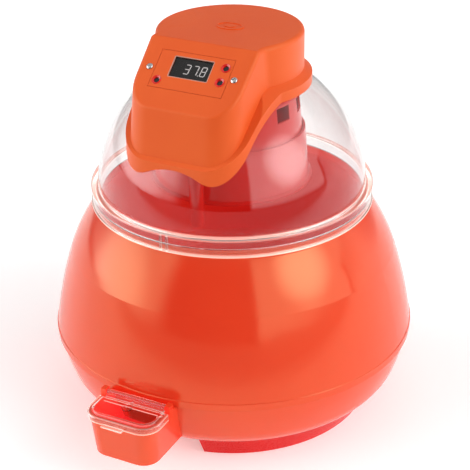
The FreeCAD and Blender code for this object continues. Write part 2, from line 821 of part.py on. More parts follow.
def upper_shell():
    """Bulb-shaped cover with a locating skirt below and a neck for the dome above."""
    profile = turned("shell_turned", [
        (bulb_r, seam_z), (bulb_r, seam_z + rim_band),
        (bulb_r - rim_step, seam_z + rim_band + rim_step, belly_arc, 1),
        (belly_r, belly_z, shoulder_arc, 1), (shoulder_r, shoulder_z),
        (shoulder_r, mouth_z), (shoulder_r - wall, mouth_z),
        (shoulder_r - wall, shoulder_z - wall / 2, shoulder_arc - wall, -1),
        (belly_r - wall * slant, belly_z, belly_arc - wall, -1),
        (bulb_r - wall - rim_step, seam_z + 3 * wall), (skirt_r - wall, seam_z + 2 * wall),
        (skirt_r - wall, skirt_low), (skirt_r, skirt_low), (skirt_r, seam_z)])
    return sub_part("upper_shell", profile)


# ---- dome ---------------------------------------------------------------------------------

def other_leg(radius, distance):
    """The height of a sphere of a radius above its middle, at a distance from its axis."""
    square = radius * radius - distance * distance
    return Size(math.sqrt(square.value), "sqrt(%s)" % square.formula)


def dome():
    """Clear dome on a plain band, with a hole for the drum and one for the probe tube."""
    inner_r = dome_r - dome_wall
    band_in = shoulder_r + 2 * gap
    outer_top = dome_z + other_leg(dome_r, dome_hole_r)
    inner_top = dome_z + other_leg(inner_r, dome_hole_r)
    band_z = shoulder_z + seat
    bead_r = band_r + band_bead
    bead_top = bead_h + bead_run
    profile = turned("dome_turned", [
        (band_in, band_z), (bead_r, band_z), (bead_r, band_z + bead_h),
        (band_r, band_z + bead_top), (band_r, band_top - bead_top), (bead_r, band_top - bead_h),
        (bead_r, band_top), (other_leg(dome_r, band_top - dome_z), band_top, dome_r, 1),
        (dome_hole_r, outer_top), (dome_hole_r, inner_top, inner_r, -1),
        (inner_r, dome_z), (inner_r, mouth_z + seat), (band_in, mouth_z + seat)])
    key = box("dome_key", key_w, 2 * wall, band_top - band_z, 0, -band_r - gap, band_z)
    tube_hole = cylinder("dome_tube_hole", probe_r + gap, dome_r, probe_x, probe_y,
                         dome_z + dome_r / 3)
    solid = fused("dome_solid", [profile, key])
    return sub_part("dome", cut("dome_body", solid, [tube_hole]))


# ---- head ---------------------------------------------------------------------------------

def neck_corner(edge):
    """Test for the upright edges where the nose meets the round back of the head."""
    a, b = edge.Vertexes[0].Point, edge.Vertexes[-1].Point
    rise = abs(b.z - a.z)
    on_neck = -neck_front.value < (a.y + b.y) / 2 < -neck_back.value
    return on_neck and rise > neck_rise.value and rise > (b - a).Length / 2


def head_prism(name, back_r, low_plan, top_plan, corner, blend, low, top):
    """Round back plus a nose; a plan is (front half width, back half width, front distance)."""
    body = new_body(name)
    back = body.newObject("PartDesign::AdditiveCylinder", name + "_back")
    for prop, size in (("Radius", back_r), ("Height", top - low)):
        setattr(back, prop, number(size))
        bind(back, prop, size)
    back.Placement.Base.z = number(low)
    bind(back, "Placement.Base.z", low)
    lofted(body, name + "_nose", (plan(*low_plan, 0), low), (plan(*top_plan, 0), top))
    rounded(body, name + "_corners", upright_corner(nose_line), corner)
    rounded(body, name + "_neck", neck_corner, blend)
    return body


def head_form(name, inset, edge=None):
    """The head's outline, cut by the slope of the control panel and set in by a wall."""
    low_plan = (cheek_low - inset, cheek_low + cheek_spread - inset, nose_low_y - inset)
    top_plan = (cheek_top - inset, cheek_top + cheek_spread - inset, nose_top_y - inset)
    body = head_prism(name, head_r - inset, low_plan, top_plan, nose_corner - inset,
                      neck_blend + inset, head_low, head_top - inset)
    doc.recompute()
    tilt = math.radians(panel_tilt.value)
    centre_z = panel_z - inset / math.cos(tilt)
    run = panel_y * 1.5
    rise = run * math.tan(tilt)
    wedge = sketch_on(body, name + "_slope", "YZ_Plane", [
        (-panel_y - run, centre_z - rise), (-panel_y + run, centre_z + rise),
        (-panel_y - run, centre_z + rise)])
    pocket = body.newObject("PartDesign::Pocket", name + "_panel")
    pocket.Profile = wedge
    pocket.Midplane = True
    pocket.Length = 4 * head_r.value
    if edge is not None:
        rounded(body, name + "_edges", upper_edge, edge)
    return body


def upper_edge(edge):
    """Test for the edges round the top and the sloping panel."""
    middle = edge.valueAt((edge.FirstParameter + edge.LastParameter) / 2)
    return min([middle.z] + [v.Z for v in edge.Vertexes]) > crown_z.value


def on_panel(obj):
    """Move something made in the panel's local frame to the panel."""
    place(obj, 0, -panel_y, panel_z)
    return turn(obj, (1, 0, 0), panel_tilt)


def lip_ring():
    """Flared lip that follows the dome, lowest at the two corners of the nose."""
    shape = (lip_half, lip_half + lip_spread, lip_y)
    prism = head_prism("lip_prism", lip_r, shape, shape, lip_corner, lip_blend, head_low,
                       lip_high)
    ball = sphere("lip_ball", dome_r + lip_z, dome_z)
    reach = 8 * lip_r
    under = box("lip_under", reach, reach, reach, 0, 0, -reach)
    slope = group("lip_slope_group", [under])
    place(slope, 0, -lip_y, lip_front_z)
    turn(slope, (1, 0, 0), lip_slope)
    return common("lip", [prism, ball, slope])


def head_cover():
    """Moulded cover of the thermostat head, seated on the dome."""
    outside = fused("head_outside", [head_form("head_outer", 0, edge_round), lip_ring()])
    inside = head_form("head_inner", wall)
    seat_ball = sphere("head_seat", dome_r + gap, dome_z)
    opening = box("panel_opening", cover_w + gap, cover_h + gap, 4 * wall, 0, 0, -3 * wall)
    holes = [cylinder("head_screw_hole%d" % i, screw_r, drill, side * screw_x, 0, -drill / 2)
             for i, side in enumerate((-1, 1))]
    cord_hole = turn(cylinder("cord_hole", gland_r, cord_cut), (1, 0, 0), -90)
    place(cord_hole, 0, head_r - cord_cut / 2, gland_z)
    panel_cuts = on_panel(group("panel_cuts", [opening] + holes))
    return sub_part("head_cover", cut("head", outside, [inside, seat_ball, panel_cuts, cord_hole]))


def cable_gland():
    """Cord bush through the back of the head."""
    sections = [("neck", gland_r - fit, gland_len, head_r - gland_in),
                ("cap", gland_r + gland_over, gland_cap, head_r),
                ("nut", gland_r + gland_over, gland_nut,
                 head_r - wall - gland_nut - gland_nut_gap)]
    parts = []
    for tag, radius, length, y in sections:
        part = turn(cylinder("gland_" + tag, radius, length), (1, 0, 0), -90)
        parts.append(place(part, 0, y, gland_z))
    bore = turn(cylinder("gland_hole", gland_bore, 2 * cord_cut), (1, 0, 0), -90)
    place(bore, 0, head_r - cord_cut, gland_z)
    return sub_part("cable_gland", cut("gland", fused("gland_solid", parts), [bore]))


def head_base_plate():
    """Plate on top of the dome that closes the head's round back and carries the drum."""
    plate = cylinder("plate_disc", head_r - wall - gap, plate_t, z=vent_top)
    low = vent_top - drill / 4
    holes = [orbit(cylinder("plate_hole%d" % i, screw_r, drill), angle, boss_ring, low)
             for i, angle in enumerate(FOUR)]
    wires = cylinder("plate_wire_hole", wire_hole_r, drill, 0, wire_hole_y, low)
    return sub_part("head_base_plate", cut("plate", plate, holes + [wires]))


def plate_screws():
    """Four screws that clamp the plate, the dome and the drum together."""
    top = vent_top + plate_t
    screws = []
    for i, angle in enumerate(FOUR):
        head = orbit(cylinder("plate_head%d" % i, screw_head_r, screw_head_h), angle, boss_ring,
                     top)
        shank = orbit(cylinder("plate_shank%d" % i, screw_r, plate_screw_len), angle, boss_ring,
                      top - plate_screw_len)
        screws.append(fused("plate_screw%d" % i, [head, shank]))
    return sub_part("plate_screws", group("plate_screw_set", screws))


def oval(name, long_r, short_r, height, z):
    """A flat oval disc on the axis."""
    curve = sized("Part::Ellipse", name + "_curve", {"MajorRadius": long_r, "MinorRadius": short_r})
    disc = doc.addObject("Part::Extrusion", name)
    disc.Base = curve
    disc.DirMode = "Custom"
    disc.Dir = FreeCAD.Vector(0, 0, 1)
    disc.LengthFwd = number(height)
    bind(disc, "LengthFwd", height)
    disc.Solid = True
    return place(disc, z=z)


def top_emblem():
    """Raised plain ring with a small oval inside, on top of the head."""
    outer = oval("emblem_outer", emblem_long, emblem_short, emblem_t, head_top)
    inner = oval("emblem_inner", emblem_long - emblem_ring, emblem_short - emblem_ring,
                 3 * emblem_t, head_top - emblem_t)
    egg = oval("emblem_egg", emblem_long / emblem_share, emblem_short / emblem_share,
               emblem_t, head_top)
    return sub_part("top_emblem", group("emblem", [cut("emblem_ring", outer, [inner]), egg]))


# ---- control panel, in its local frame ----------------------------------------------------

BUTTONS = {"button_left": (left_x, left_y),
           "button_upper": (upper_x, upper_y),
           "button_lower": (lower_x, lower_y)}
button_low = switch_h + press + switch_gap - board_drop


def panel_cover():
    """Flush cover plate with the display window and three button holes."""
    plate = box("cover_plate", cover_w - gap, cover_h - gap, cover_t, 0, 0, -cover_t)
    window = box("cover_window", window_w, window_h, 3 * cover_t, window_x, window_y, -2 * cover_t)
    holes = [cylinder("cover_hole_" + name, collar_r, 3 * cover_t, x, y, -2 * cover_t)
             for name, (x, y) in BUTTONS.items()]
    return sub_part("panel_cover", on_panel(group("cover_at_panel", [
        cut("cover", plate, [window] + holes)])))


def button_collars():
    """Three dished rings round the buttons."""
    rings = []
    for name, (x, y) in BUTTONS.items():
        ring = cylinder("collar_" + name, collar_r, cover_t + collar_up, x, y, -cover_t)
        hole = cylinder("collar_hole_" + name, button_r + button_play, 3 * cover_t, x, y,
                        -2 * cover_t)
        dish = cone("collar_dish_" + name, button_r, collar_r - collar_edge,
                    collar_up + dish_deep, x, y, -dish_deep)
        rings.append(cut("collar_cut_" + name, ring, [hole, dish]))
    return sub_part("button_collars", on_panel(group("collars", rings)))


def panel_carrier():
    """Plate behind the panel that the cover, the buttons and the board are held by."""
    low = -drill * 3 / 4
    plate = box("carrier_plate", 2 * screw_x + carrier_over, cover_h - carrier_short, carrier_t,
                0, 0, carrier_z - carrier_t)
    window = box("carrier_window", module_w + gap, module_h + gap, drill, window_x, window_y, low)
    holes = [cylinder("carrier_hole_" + name, button_r + button_play, drill, x, y, low)
             for name, (x, y) in BUTTONS.items()]
    screws = [cylinder("carrier_screw%d" % i, screw_r, drill, side * screw_x, 0, low)
              for i, side in enumerate((-1, 1))]
    return sub_part("panel_carrier", on_panel(group("carrier_at_panel", [
        cut("carrier", plate, [window] + holes + screws)])))


def panel_screws():
    """Two pan-head screws beside the cover."""
    screws = []
    for i, side in enumerate((-1, 1)):
        head = cylinder("panel_head%d" % i, screw_head_r, screw_head_h, side * screw_x, 0, 0)
        shank = cylinder("panel_shank%d" % i, screw_r, panel_screw_len, side * screw_x, 0,
                         -panel_screw_len)
        slot = box("panel_slot%d" % i, 2 * screw_head_r, slot_w, 2 * slot_d, side * screw_x, 0,
                   screw_head_h - slot_d)
        screws.append(cut("panel_screw%d" % i, fused("panel_screw_solid%d" % i, [head, shank]),
                          [slot]))
    return sub_part("panel_screws", on_panel(group("panel_screw_set", screws)))


def display_module():
    """Dark block of the three-digit display, standing on the board."""
    block = box("module_block", module_w, module_h, board_drop + module_z, window_x, window_y,
                -board_drop)
    return sub_part("display_module", on_panel(group("module_at_panel", [block])))


SEGMENTS = {"3": "abgcd", "7": "abc", "8": "abcdefg"}


def display_digits():
    """Lit strokes of the reading 37.8 on the face of the display block."""
    across, up = digit_w / 2, digit_h / 4
    bars = {"a": (0, 2, True), "b": (1, 1, False), "c": (1, -1, False), "d": (0, -2, True),
            "e": (-1, -1, False), "f": (-1, 1, False), "g": (0, 0, True)}
    strokes = []
    for place_index, digit in enumerate("378"):
        x = window_x + digit_pitch * (place_index - first_digit)
        for letter in SEGMENTS[digit]:
            u, v, flat = bars[letter]
            size = (digit_w - stroke_end * digit_stroke, digit_stroke) if flat else (
                digit_stroke, digit_h / 2 - stroke_side * digit_stroke)
            strokes.append(box("stroke_%d%s" % (place_index, letter), *size, glow_t,
                               x + across * u, window_y + up * v, module_z))
    strokes.append(box("stroke_point", digit_stroke, digit_stroke, glow_t,
                       window_x + digit_pitch * point_place, window_y - digit_h / 2, module_z))
    return sub_part("display_digits", on_panel(group("digits", strokes)))


def display_lens():
    """Tinted window in front of the display."""
    pane = box("lens_pane", window_w - gap, window_h - gap, lens_t, window_x, window_y,
               lens_z - lens_t)
    return sub_part("display_lens", on_panel(group("lens_at_panel", [pane])))


# Width, depth, height, x and y of the larger components on the board
CHIPS = [(18, 8, 3, -12, 4), (14, 12, 6, 16, -2), (9, 9, 4, -30, -4)]


def circuit_board():
    """Board behind the carrier with the display and the switches on it."""
    back = -board_drop - board_t
    board = box("board_plate", 2 * screw_x, cover_h - board_short, board_t, 0, 0, back)
    chips = [box("chip%d" % i, wide, deep, high, x, y, back - high)
             for i, (wide, deep, high, x, y) in enumerate(CHIPS)]
    return sub_part("circuit_board", on_panel(group("board_at_panel", [
        fused("board", [board] + chips)])))


def board_spacers():
    """Three posts between the carrier and the board; the fourth corner holds a button."""
    posts = [cylinder("spacer%d" % i, spacer_r, carrier_z - carrier_t + board_drop,
                      across * (screw_x - spacer_in), up * (cover_h / 2 - spacer_in_y),
                      -board_drop)
             for i, (across, up) in enumerate([(-1, 1), (1, -1), (1, 1)])]
    return sub_part("board_spacers", on_panel(group("spacers", posts)))


def tact_switches():
    """Three push switches on the board, one behind each button."""
    bodies = [box("switch_" + name, switch_w, switch_w, switch_h, x, y, -board_drop)
              for name, (x, y) in BUTTONS.items()]
    return sub_part("tact_switches", on_panel(group("switches", bodies)))


def push_button(name):
    """Dark push button with a flange that stops it behind the carrier."""
    x, y = BUTTONS[name]
    stem = cylinder(name + "_stem", button_r, -button_sink - button_low, x, y, button_low)
    flange_top = carrier_z - carrier_t - button_play
    flange = cylinder(name + "_flange", button_r + flange_over, stem_flange_t, x, y,
                      flange_top - stem_flange_t)
    return sub_part(name, on_panel(group(name + "_at_panel", [
        fused(name + "_solid", [stem, flange])])))


# ---- inside the head ----------------------------------------------------------------------

def power_transformer():
    """Laminated transformer on the base plate."""
    top = vent_top + plate_t
    core = box("transformer_core", core_w, core_d, core_h, transformer_x, transformer_y, top)
    coil = box("transformer_coil", coil_w, coil_d, coil_h, transformer_x, transformer_y,
               top + coil_up)
    return sub_part("power_transformer", fused("transformer", [core, coil]))


def terminal_block():
    """Screw terminals for the cord and the heater."""
    top = vent_top + plate_t
    block = box("terminal_body", terminal_w, terminal_d, terminal_h, terminal_x, terminal_y, top)
    holes = [cylinder("terminal_hole%d" % i, terminal_hole_r, terminal_h,
                      terminal_x + step * terminal_pitch / 2, terminal_y, top + terminal_h / 2)
             for i, step in enumerate((-3, -1, 1, 3))]
    return sub_part("terminal_block", cut("terminal", block, holes))


# ---- heater drum --------------------------------------------------------------------------

def ring_outline(low, top, thick):
    """Closed outline of a thin tapered ring; low and top are (radius, height)."""
    return [low, top, (top[0] - thick, top[1]), (low[0] - thick, low[1])]


def air_collar():
    """Tapered collar through the dome with air windows and four screw bosses."""
    wall_ring = turned("collar_turned", ring_outline((vent_low_r, collar_low),
                                                     (vent_top_r, vent_top), drum_wall))
    bosses = [orbit(cylinder("collar_boss%d" % i, collar_boss_r, collar_boss_h), angle, boss_ring,
                    vent_top - collar_boss_h)
              for i, angle in enumerate(FOUR)]
    ring = fused("collar_solid", [wall_ring] + bosses)
    count = int(vent_count.value)
    windows = [orbit_box("vent%d" % i, drill, vent_w, vent_h, angle, vent_low_r,
                         vent_z + vent_h / 2)
               for i, angle in enumerate(around(count, 180 / count))]
    holes = [orbit(cylinder("boss_hole%d" % i, screw_r, drill), angle, boss_ring,
                   vent_top - plate_screw_len)
             for i, angle in enumerate(FOUR)]
    return sub_part("air_collar", cut("collar_body", ring, windows + holes))


def dome_clamp_ring():
    """Ring under the edge of the dome's hole."""
    low = vent_top - clamp_drop
    inner, outer = vent_top_r + clamp_in, dome_hole_r + clamp_over
    ring = turned("clamp_turned", [(inner, low), (outer, low), (outer, low + wall),
                                   (inner, low + wall)])
    return sub_part("dome_clamp_ring", ring)


def drum_skirt():
    """Lower sleeve of the drum with a flange round its mouth."""
    inner = drum_low_r - drum_wall
    return sub_part("drum_skirt", turned("skirt_turned", [
        (flange_r - flange_in, drum_low), (flange_r, drum_low), (flange_r, drum_low + flange_t),
        (drum_low_r, drum_low + flange_rise), (drum_top_r, drum_top),
        (drum_top_r - drum_wall, drum_top), (inner, drum_low + flange_rise + flange_crook),
        (inner, drum_low + flange_lip), (flange_r - flange_in, drum_low + flange_lip)]))


# Inner radius, outer radius and count of each ring of slots in the guard
GRILLE_ROWS = [(12, 36, 8), (41, 64, 16)]


def drum_grille():
    """Guard under the fan."""
    disc = slotted_disc("grille_disc", flange_r - flange_in, grille_t, drum_low, GRILLE_ROWS,
                        tray_bar)
    return sub_part("drum_grille", disc)


def fan_motor():
    """Round motor with a bore for the shaft."""
    can = cylinder("motor_can", motor_r, motor_h, z=motor_z)
    nose = cylinder("motor_nose", motor_nose_r, motor_nose_h, z=motor_z - motor_nose_h)
    bore = cylinder("motor_hole", shaft_r + shaft_gap, motor_bore,
                    z=motor_z - motor_nose_h - cut_over)
    return sub_part("fan_motor", cut("motor", fused("motor_solid", [can, nose]), [bore]))


def motor_bracket():
    """Clamp ring with three arms that hold the motor in the collar."""
    z = motor_z + bracket_up
    middle = z + bracket_w
    share = (middle - collar_low) / (vent_top - collar_low)
    reach = vent_low_r - (vent_low_r - vent_top_r) * share - drum_wall - arm_gap
    ring = cylinder("bracket_ring", motor_r + bracket_w, bracket_w, z=z)
    arms = []
    for i, angle in enumerate(around(3, 90)):
        arm = sized("Part::Cylinder", "bracket_arm%d" % i,
                    {"Radius": arm_r, "Height": reach - motor_r})
        out = FreeCAD.Vector(math.cos(math.radians(angle)), math.sin(math.radians(angle)), 0)
        arm.Placement = FreeCAD.Placement(
            out * motor_r.value + FreeCAD.Vector(0, 0, middle.value),
            FreeCAD.Rotation(FreeCAD.Vector(0, 0, 1), out))
        arms.append(arm)
    hole = cylinder("bracket_hole", motor_r, drill, z=z - drill / 2)
    return sub_part("motor_bracket", cut("bracket", fused("bracket_solid", [ring] + arms), [hole]))


def fan_shaft():
    """Steel shaft that turns with the impeller."""
    return sub_part("fan_shaft", cylinder("shaft", shaft_r, motor_z + shaft_in - fan_z, z=fan_z))


def fan_impeller():
    """Hub with pitched blades."""
    hub = cylinder("fan_hub", hub_r, fan_h, z=fan_z)
    length = fan_r - hub_r + blade_root
    blades = [orbit_box("fan_blade%d" % i, length, blade_w, blade_t, angle,
                        (fan_r + hub_r - blade_root) / 2, fan_z + fan_h / 2, blade_pitch.value)
              for i, angle in enumerate(around(int(blade_count.value)))]
    bore = cylinder("fan_bore", shaft_r, 3 * fan_h, z=fan_z - fan_h)
    return sub_part("fan_impeller", cut("fan", fused("fan_solid", [hub] + blades), [bore]))


def heater_coil():
    """Ring heater between the fan and the grille."""
    return sub_part("heater_coil", torus("coil", heater_r, heater_wire, heater_z))


def heater_insulators():
    """Three ceramic blocks that hold the heater to the drum wall."""
    ring = torus("coil_space", heater_r, heater_wire, heater_z)
    blocks = [orbit_box("insulator%d" % i, insulator_l, insulator_w, insulator_h, angle,
                        heater_r + insulator_out, heater_z)
              for i, angle in enumerate(around(3, 30))]
    return sub_part("heater_insulators", group("insulators", [
        cut("insulator_cut%d" % i, block, [ring]) for i, block in enumerate(blocks)]))


def thermal_cutout():
    """Safety thermostat on the drum wall above the heater."""
    return sub_part("thermal_cutout", orbit_box(
        "cutout", cutout_l, cutout_w, cutout_h, cutout_angle.value, cutout_ring, cutout_z))


# ---- probe tube ---------------------------------------------------------------------------

def probe_tube():
    """Tube that hangs from the nose into the chamber, closed below, with the probe inside."""
    outer = cylinder("tube_outer", probe_r, probe_top - probe_low, probe_x, probe_y, probe_low)
    inner = cylinder("tube_inner", probe_r - tube_wall, probe_top, probe_x, probe_y,
                     probe_low + tube_wall)
    flange = cylinder("tube_flange", probe_r + tube_over, tube_flange_t, probe_x, probe_y,
                      probe_top - tube_flange_drop)
    return sub_part("probe_tube", cut("tube", fused("tube_solid", [outer, flange]), [inner]))


def temperature_sensor():
    """Small capped probe in the bottom of the tube."""
    return sub_part("temperature_sensor",
                    cylinder("probe", sensor_r, sensor_len, probe_x, probe_y, probe_low + sensor_up))


# ---- build, check and write ---------------------------------------------------------------

MAKERS = [base_basin, channel_ring, foot_ring, rubber_feet, foot_screws, egg_tray, water_spout,
          spout_hinge_pin, spout_lid, spout_lid_emblem, upper_shell, dome, head_cover,
          cable_gland, head_base_plate, plate_screws, top_emblem, panel_cover, button_collars,
          panel_carrier, panel_screws, display_module, display_digits, display_lens,
          circuit_board, board_spacers, tact_switches, power_transformer, terminal_block,
          air_collar, dome_clamp_ring, drum_skirt, drum_grille, fan_motor, motor_bracket,
          fan_shaft, fan_impeller, heater_coil, heater_insulators, thermal_cutout, probe_tube,
          temperature_sensor]

for make in MAKERS:
    make()
for button in BUTTONS:
    push_button(button)
doc.recompute()

for obj in doc.Objects:
    if "Invalid" in obj.State or "Error" in obj.State:
        raise RuntimeError("%s did not build: %s" % (obj.Name, obj.State))
for obj in sub_parts:
    if obj.Shape.isNull() or not obj.Shape.isValid() or not obj.Shape.Solids:
        raise RuntimeError("%s has a bad shape" % obj.Label)

os.makedirs("parts", exist_ok=True)
for obj in sub_parts:
    obj.Shape.exportStep("parts/%s.step" % obj.Label)
print("wrote %d sub-parts" % len(sub_parts))
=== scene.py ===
# %% [markdown]
# # An egg incubator, from frame to finish
# The real thing is a round-bottomed pot of glossy orange-red plastic. A clear dome sits on its mouth,
# and an orange head with a small display rides on top of the dome and holds a fan and a heater.
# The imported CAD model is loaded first, as the fixed frame: it says where each part is, how big it is,
# and which body it moves with. The pieces made here follow those places and never move them.

import math

import bpy
import numpy as np
from mathutils import Euler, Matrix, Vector


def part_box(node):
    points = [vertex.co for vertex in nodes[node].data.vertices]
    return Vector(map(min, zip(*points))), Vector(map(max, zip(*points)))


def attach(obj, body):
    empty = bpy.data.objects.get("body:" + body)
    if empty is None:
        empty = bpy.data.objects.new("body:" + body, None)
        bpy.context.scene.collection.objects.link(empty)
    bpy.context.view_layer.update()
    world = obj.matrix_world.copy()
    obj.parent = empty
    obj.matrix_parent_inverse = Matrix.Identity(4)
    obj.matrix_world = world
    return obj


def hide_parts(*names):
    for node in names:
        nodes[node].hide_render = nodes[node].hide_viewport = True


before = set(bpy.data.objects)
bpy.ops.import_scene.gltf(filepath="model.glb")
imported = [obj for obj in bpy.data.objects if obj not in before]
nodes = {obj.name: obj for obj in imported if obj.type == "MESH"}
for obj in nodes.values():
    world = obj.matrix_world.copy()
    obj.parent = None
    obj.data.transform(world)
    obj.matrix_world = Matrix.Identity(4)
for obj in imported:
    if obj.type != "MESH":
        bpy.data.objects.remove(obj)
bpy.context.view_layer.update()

# %% [markdown]
# ## Shader maths in Python
# A material is a small network of nodes. Written by hand, a network takes many lines, so two helpers
# come first. A Wire stands for one socket, and +, - and * on it add Math nodes. A Finish is one
# material, and its `add` method makes any other node: its type, its settings, then its sockets.

# %% Wires and finishes


class Wire:
    """A socket of a material: an expression such as 1 - mask * 0.3 adds its Math nodes."""

    def __init__(self, finish, socket):
        self.finish = finish
        self.socket = socket

    def maths(self, operation, *values):
        """The Math node of that operation on these values, as a new Wire."""
        return self.finish.add("ShaderNodeMath", {"operation": operation}, dict(enumerate(values)))

    def __add__(self, other):
        return self.maths("ADD", self, other)

    def __sub__(self, other):
        return self.maths("SUBTRACT", self, other)

    def __rsub__(self, other):
        return self.maths("SUBTRACT", other, self)

    def __mul__(self, other):
        return self.maths("MULTIPLY", self, other)

    __radd__ = __add__
    __rmul__ = __mul__

    def between(self, low, high):
        """0 below low, 1 above high, and a smooth step from the one to the other."""
        sockets = {"Value": self, "From Min": low, "From Max": high}
        return self.finish.add("ShaderNodeMapRange", {"interpolation_type": "SMOOTHSTEP"}, sockets)


class Network:
    """A tree of nodes to which nodes are added by kind."""

    def __init__(self, tree):
        self.tree = tree

    def add(self, kind, settings=None, sockets=None, out=0):
        """A node of that kind with its settings set first, then its sockets; returns one output as a Wire."""
        node = self.tree.nodes.new(kind)
        for key, value in (settings or {}).items():
            setattr(node, key, value)
        for key, value in (sockets or {}).items():
            self.feed(node.inputs[key], value)
        return Wire(self, node.outputs[out])

    def feed(self, socket, value):
        """Links a Wire into the socket, or sets a plain value on it."""
        if isinstance(value, Wire):
            self.tree.links.new(value.socket, socket)
        elif socket.type == "RGBA" and len(value) == 3:
            socket.default_value = (*value, 1.0)
        else:
            socket.default_value = value


class Finish(Network):
    """One material, built around a Principled surface whose constants are given by name."""

    def __init__(self, name, **constants):
        self.material = bpy.data.materials.new(name)
        self.material.use_nodes = True
        super().__init__(self.material.node_tree)
        self.surface = self.tree.nodes["Principled BSDF"]
        self.output = self.tree.nodes["Material Output"]
        for socket, value in constants.items():
            self.surface.inputs[socket.replace("_", " ")].default_value = value

    def set(self, **inputs):
        """Feeds the surface's sockets, such as Base_Color or Roughness."""
        for socket, value in inputs.items():
            self.feed(self.surface.inputs[socket.replace("_", " ")], value)
        return self

    def place(self):
        """Where a point is on the object, in metres."""
        return self.add("ShaderNodeTexCoord", out="Object")

    def along(self, way):
        """How far a point lies from the origin in the direction of way, in metres."""
        sockets = {0: self.place(), 1: way}
        return self.add("ShaderNodeVectorMath", {"operation": "DOT_PRODUCT"}, sockets, "Value")

    def noise(self, scale, detail=2.0, rough=0.5, place=None):
        """Soft cloudy noise of about 1/scale metres, from 0 to 1."""
        sockets = {"Vector": place or self.place(), "Scale": scale, "Detail": detail, "Roughness": rough}
        return self.add("ShaderNodeTexNoise", sockets=sockets)

    def mix(self, share, first, second):
        """Two colours mixed by share."""
        return self.add("ShaderNodeMix", {"data_type": "RGBA"}, {0: share, 6: first, 7: second}, out=2)

    def bump(self, height, depth, strength=1.0, under=None):
        """A normal from a height of 0 to 1 that stands for `depth` metres."""
        sockets = {"Height": height, "Distance": depth, "Strength": strength}
        if under:
            sockets["Normal"] = under
        return self.add("ShaderNodeBump", sockets=sockets)


# %% [markdown]
# ## Glossy shell plastic
# The shell, the basin and the spout are moulded in one orange-red plastic with a polished face. Its colour is
# saturated, almost without pattern, so the finish lives in small things: a slow change of tone, a gloss that
# is a little duller where hands have rubbed it, and a faint moulded ripple. The inner faces of the shell and
# the spout get a weak painted red glow: emission in place of the light that comes through the wall.

# %% Orange-red plastics


def painted_glow(made, inside, colour):
    """Adds a painted glow of that colour, as emission, on the faces where inside is 1. It stands in for light
    that comes through a thin wall from outside, or along a clear rim.
    """
    made.surface.inputs["Emission Strength"].default_value = 1.0
    return made.set(Emission_Color=made.mix(inside, (0.0, 0.0, 0.0), colour))


def facing_middle(made, middle, level):
    """1 on a face that looks towards a middle point, 0 on one that looks away: the dot product of the
    normal and the direction to the point, measured level or in full."""
    offset = made.add("ShaderNodeVectorMath", {"operation": "SUBTRACT"},
                      {0: made.place(), 1: middle}, "Vector")
    kept = made.add("ShaderNodeVectorMath", {"operation": "MULTIPLY"}, {0: offset, 1: level}, "Vector")
    outward = made.add("ShaderNodeVectorMath", {"operation": "NORMALIZE"}, {0: kept}, "Vector")
    normal = made.add("ShaderNodeNewGeometry", out="Normal")
    share = made.add("ShaderNodeVectorMath", {"operation": "DOT_PRODUCT"}, {0: normal, 1: outward}, "Value")
    return (share * -1.0).between(0.05, 0.5)


def moulded(name, colour, deep, roughness, ripple, grain, **constants):
    """A moulded plastic: colour mixed to deep by slow noise, and fine grain in gloss and height."""
    made = Finish(name, **constants)
    tone = made.noise(9.0, 3.0).between(0.3, 0.75)
    fine = made.noise(grain[0], 3.0, 0.6)
    slow = made.noise(35.0, 1.0)
    wear = made.noise(60.0, 6.0, 0.7).between(0.55, 0.75)
    normal = made.bump(slow, ripple)
    return made.set(
        Base_Color=made.mix(tone, colour, deep),
        Roughness=roughness + fine * 0.05 + wear * 0.05,
        Normal=made.bump(fine, grain[1], under=normal),
    )


ORANGE = ((0.80, 0.052, 0.017), (0.76, 0.044, 0.015), 0.10, 1.0e-4, (900.0, 4e-6))
SHINE = {"Specular_IOR_Level": 0.9, "Specular_Tint": (1.0, 0.80, 0.40, 1.0), "Subsurface_Weight": 0.15,
         "Subsurface_Radius": (1.0, 0.2, 0.08), "Subsurface_Scale": 0.006}
GLOSS = moulded("shell_gloss", *ORANGE, **SHINE)
# Painted glow: the inner faces of the shell and of the spout's trough give off a weak red, in place of light
# that comes through the wall
SHELL_PAINTED_GLOW, TROUGH_PAINTED_GLOW = (0.20, 0.004, 0.003), (0.42, 0.003, 0.012)
AXIS, LEVEL, FULL = (0.0, 0.0, 0.0), (1.0, 1.0, 0.0), (1.0, 1.0, 1.0)
painted_glow(GLOSS, facing_middle(GLOSS, AXIS, LEVEL), SHELL_PAINTED_GLOW)
SPOUT = moulded("spout_gloss", *ORANGE, **SHINE)
trough_low, trough_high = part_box("water_spout")
TROUGH_HALF_DEPTH = 0.021
trough_middle = ((trough_low.x + trough_high.x) / 2, trough_low.y + TROUGH_HALF_DEPTH,
                 (trough_low.z + trough_high.z) / 2)
painted_glow(SPOUT, facing_middle(SPOUT, trough_middle, FULL), TROUGH_PAINTED_GLOW)
SATIN = moulded("head_satin", (0.82, 0.115, 0.022), (0.78, 0.095, 0.018), 0.38, 1e-4, (1400.0, 5e-5),
                Specular_IOR_Level=0.45, Specular_Tint=(1.0, 0.80, 0.45, 1.0))
RED = moulded("drum_red", (0.80, 0.022, 0.014), (0.74, 0.016, 0.012), 0.16, 1e-4, (900.0, 4e-6),
              Specular_IOR_Level=0.7, Subsurface_Weight=0.2, Subsurface_Radius=(1.0, 0.15, 0.08),
              Subsurface_Scale=0.008)
DARK = moulded("black_plastic", (0.012, 0.012, 0.013), (0.02, 0.02, 0.021), 0.32, 1e-5, (1500.0, 2e-5))
RUBBER = moulded("foot_rubber", (0.018, 0.018, 0.018), (0.035, 0.034, 0.033), 0.62, 1e-5, (1200.0, 6e-5))
WHITE = moulded("white_nylon", (0.78, 0.78, 0.75), (0.70, 0.70, 0.66), 0.38, 1e-5, (1500.0, 2e-5))
CERAMIC = moulded("ceramic", (0.80, 0.77, 0.70), (0.70, 0.66, 0.58), 0.55, 1e-5, (900.0, 6e-5))
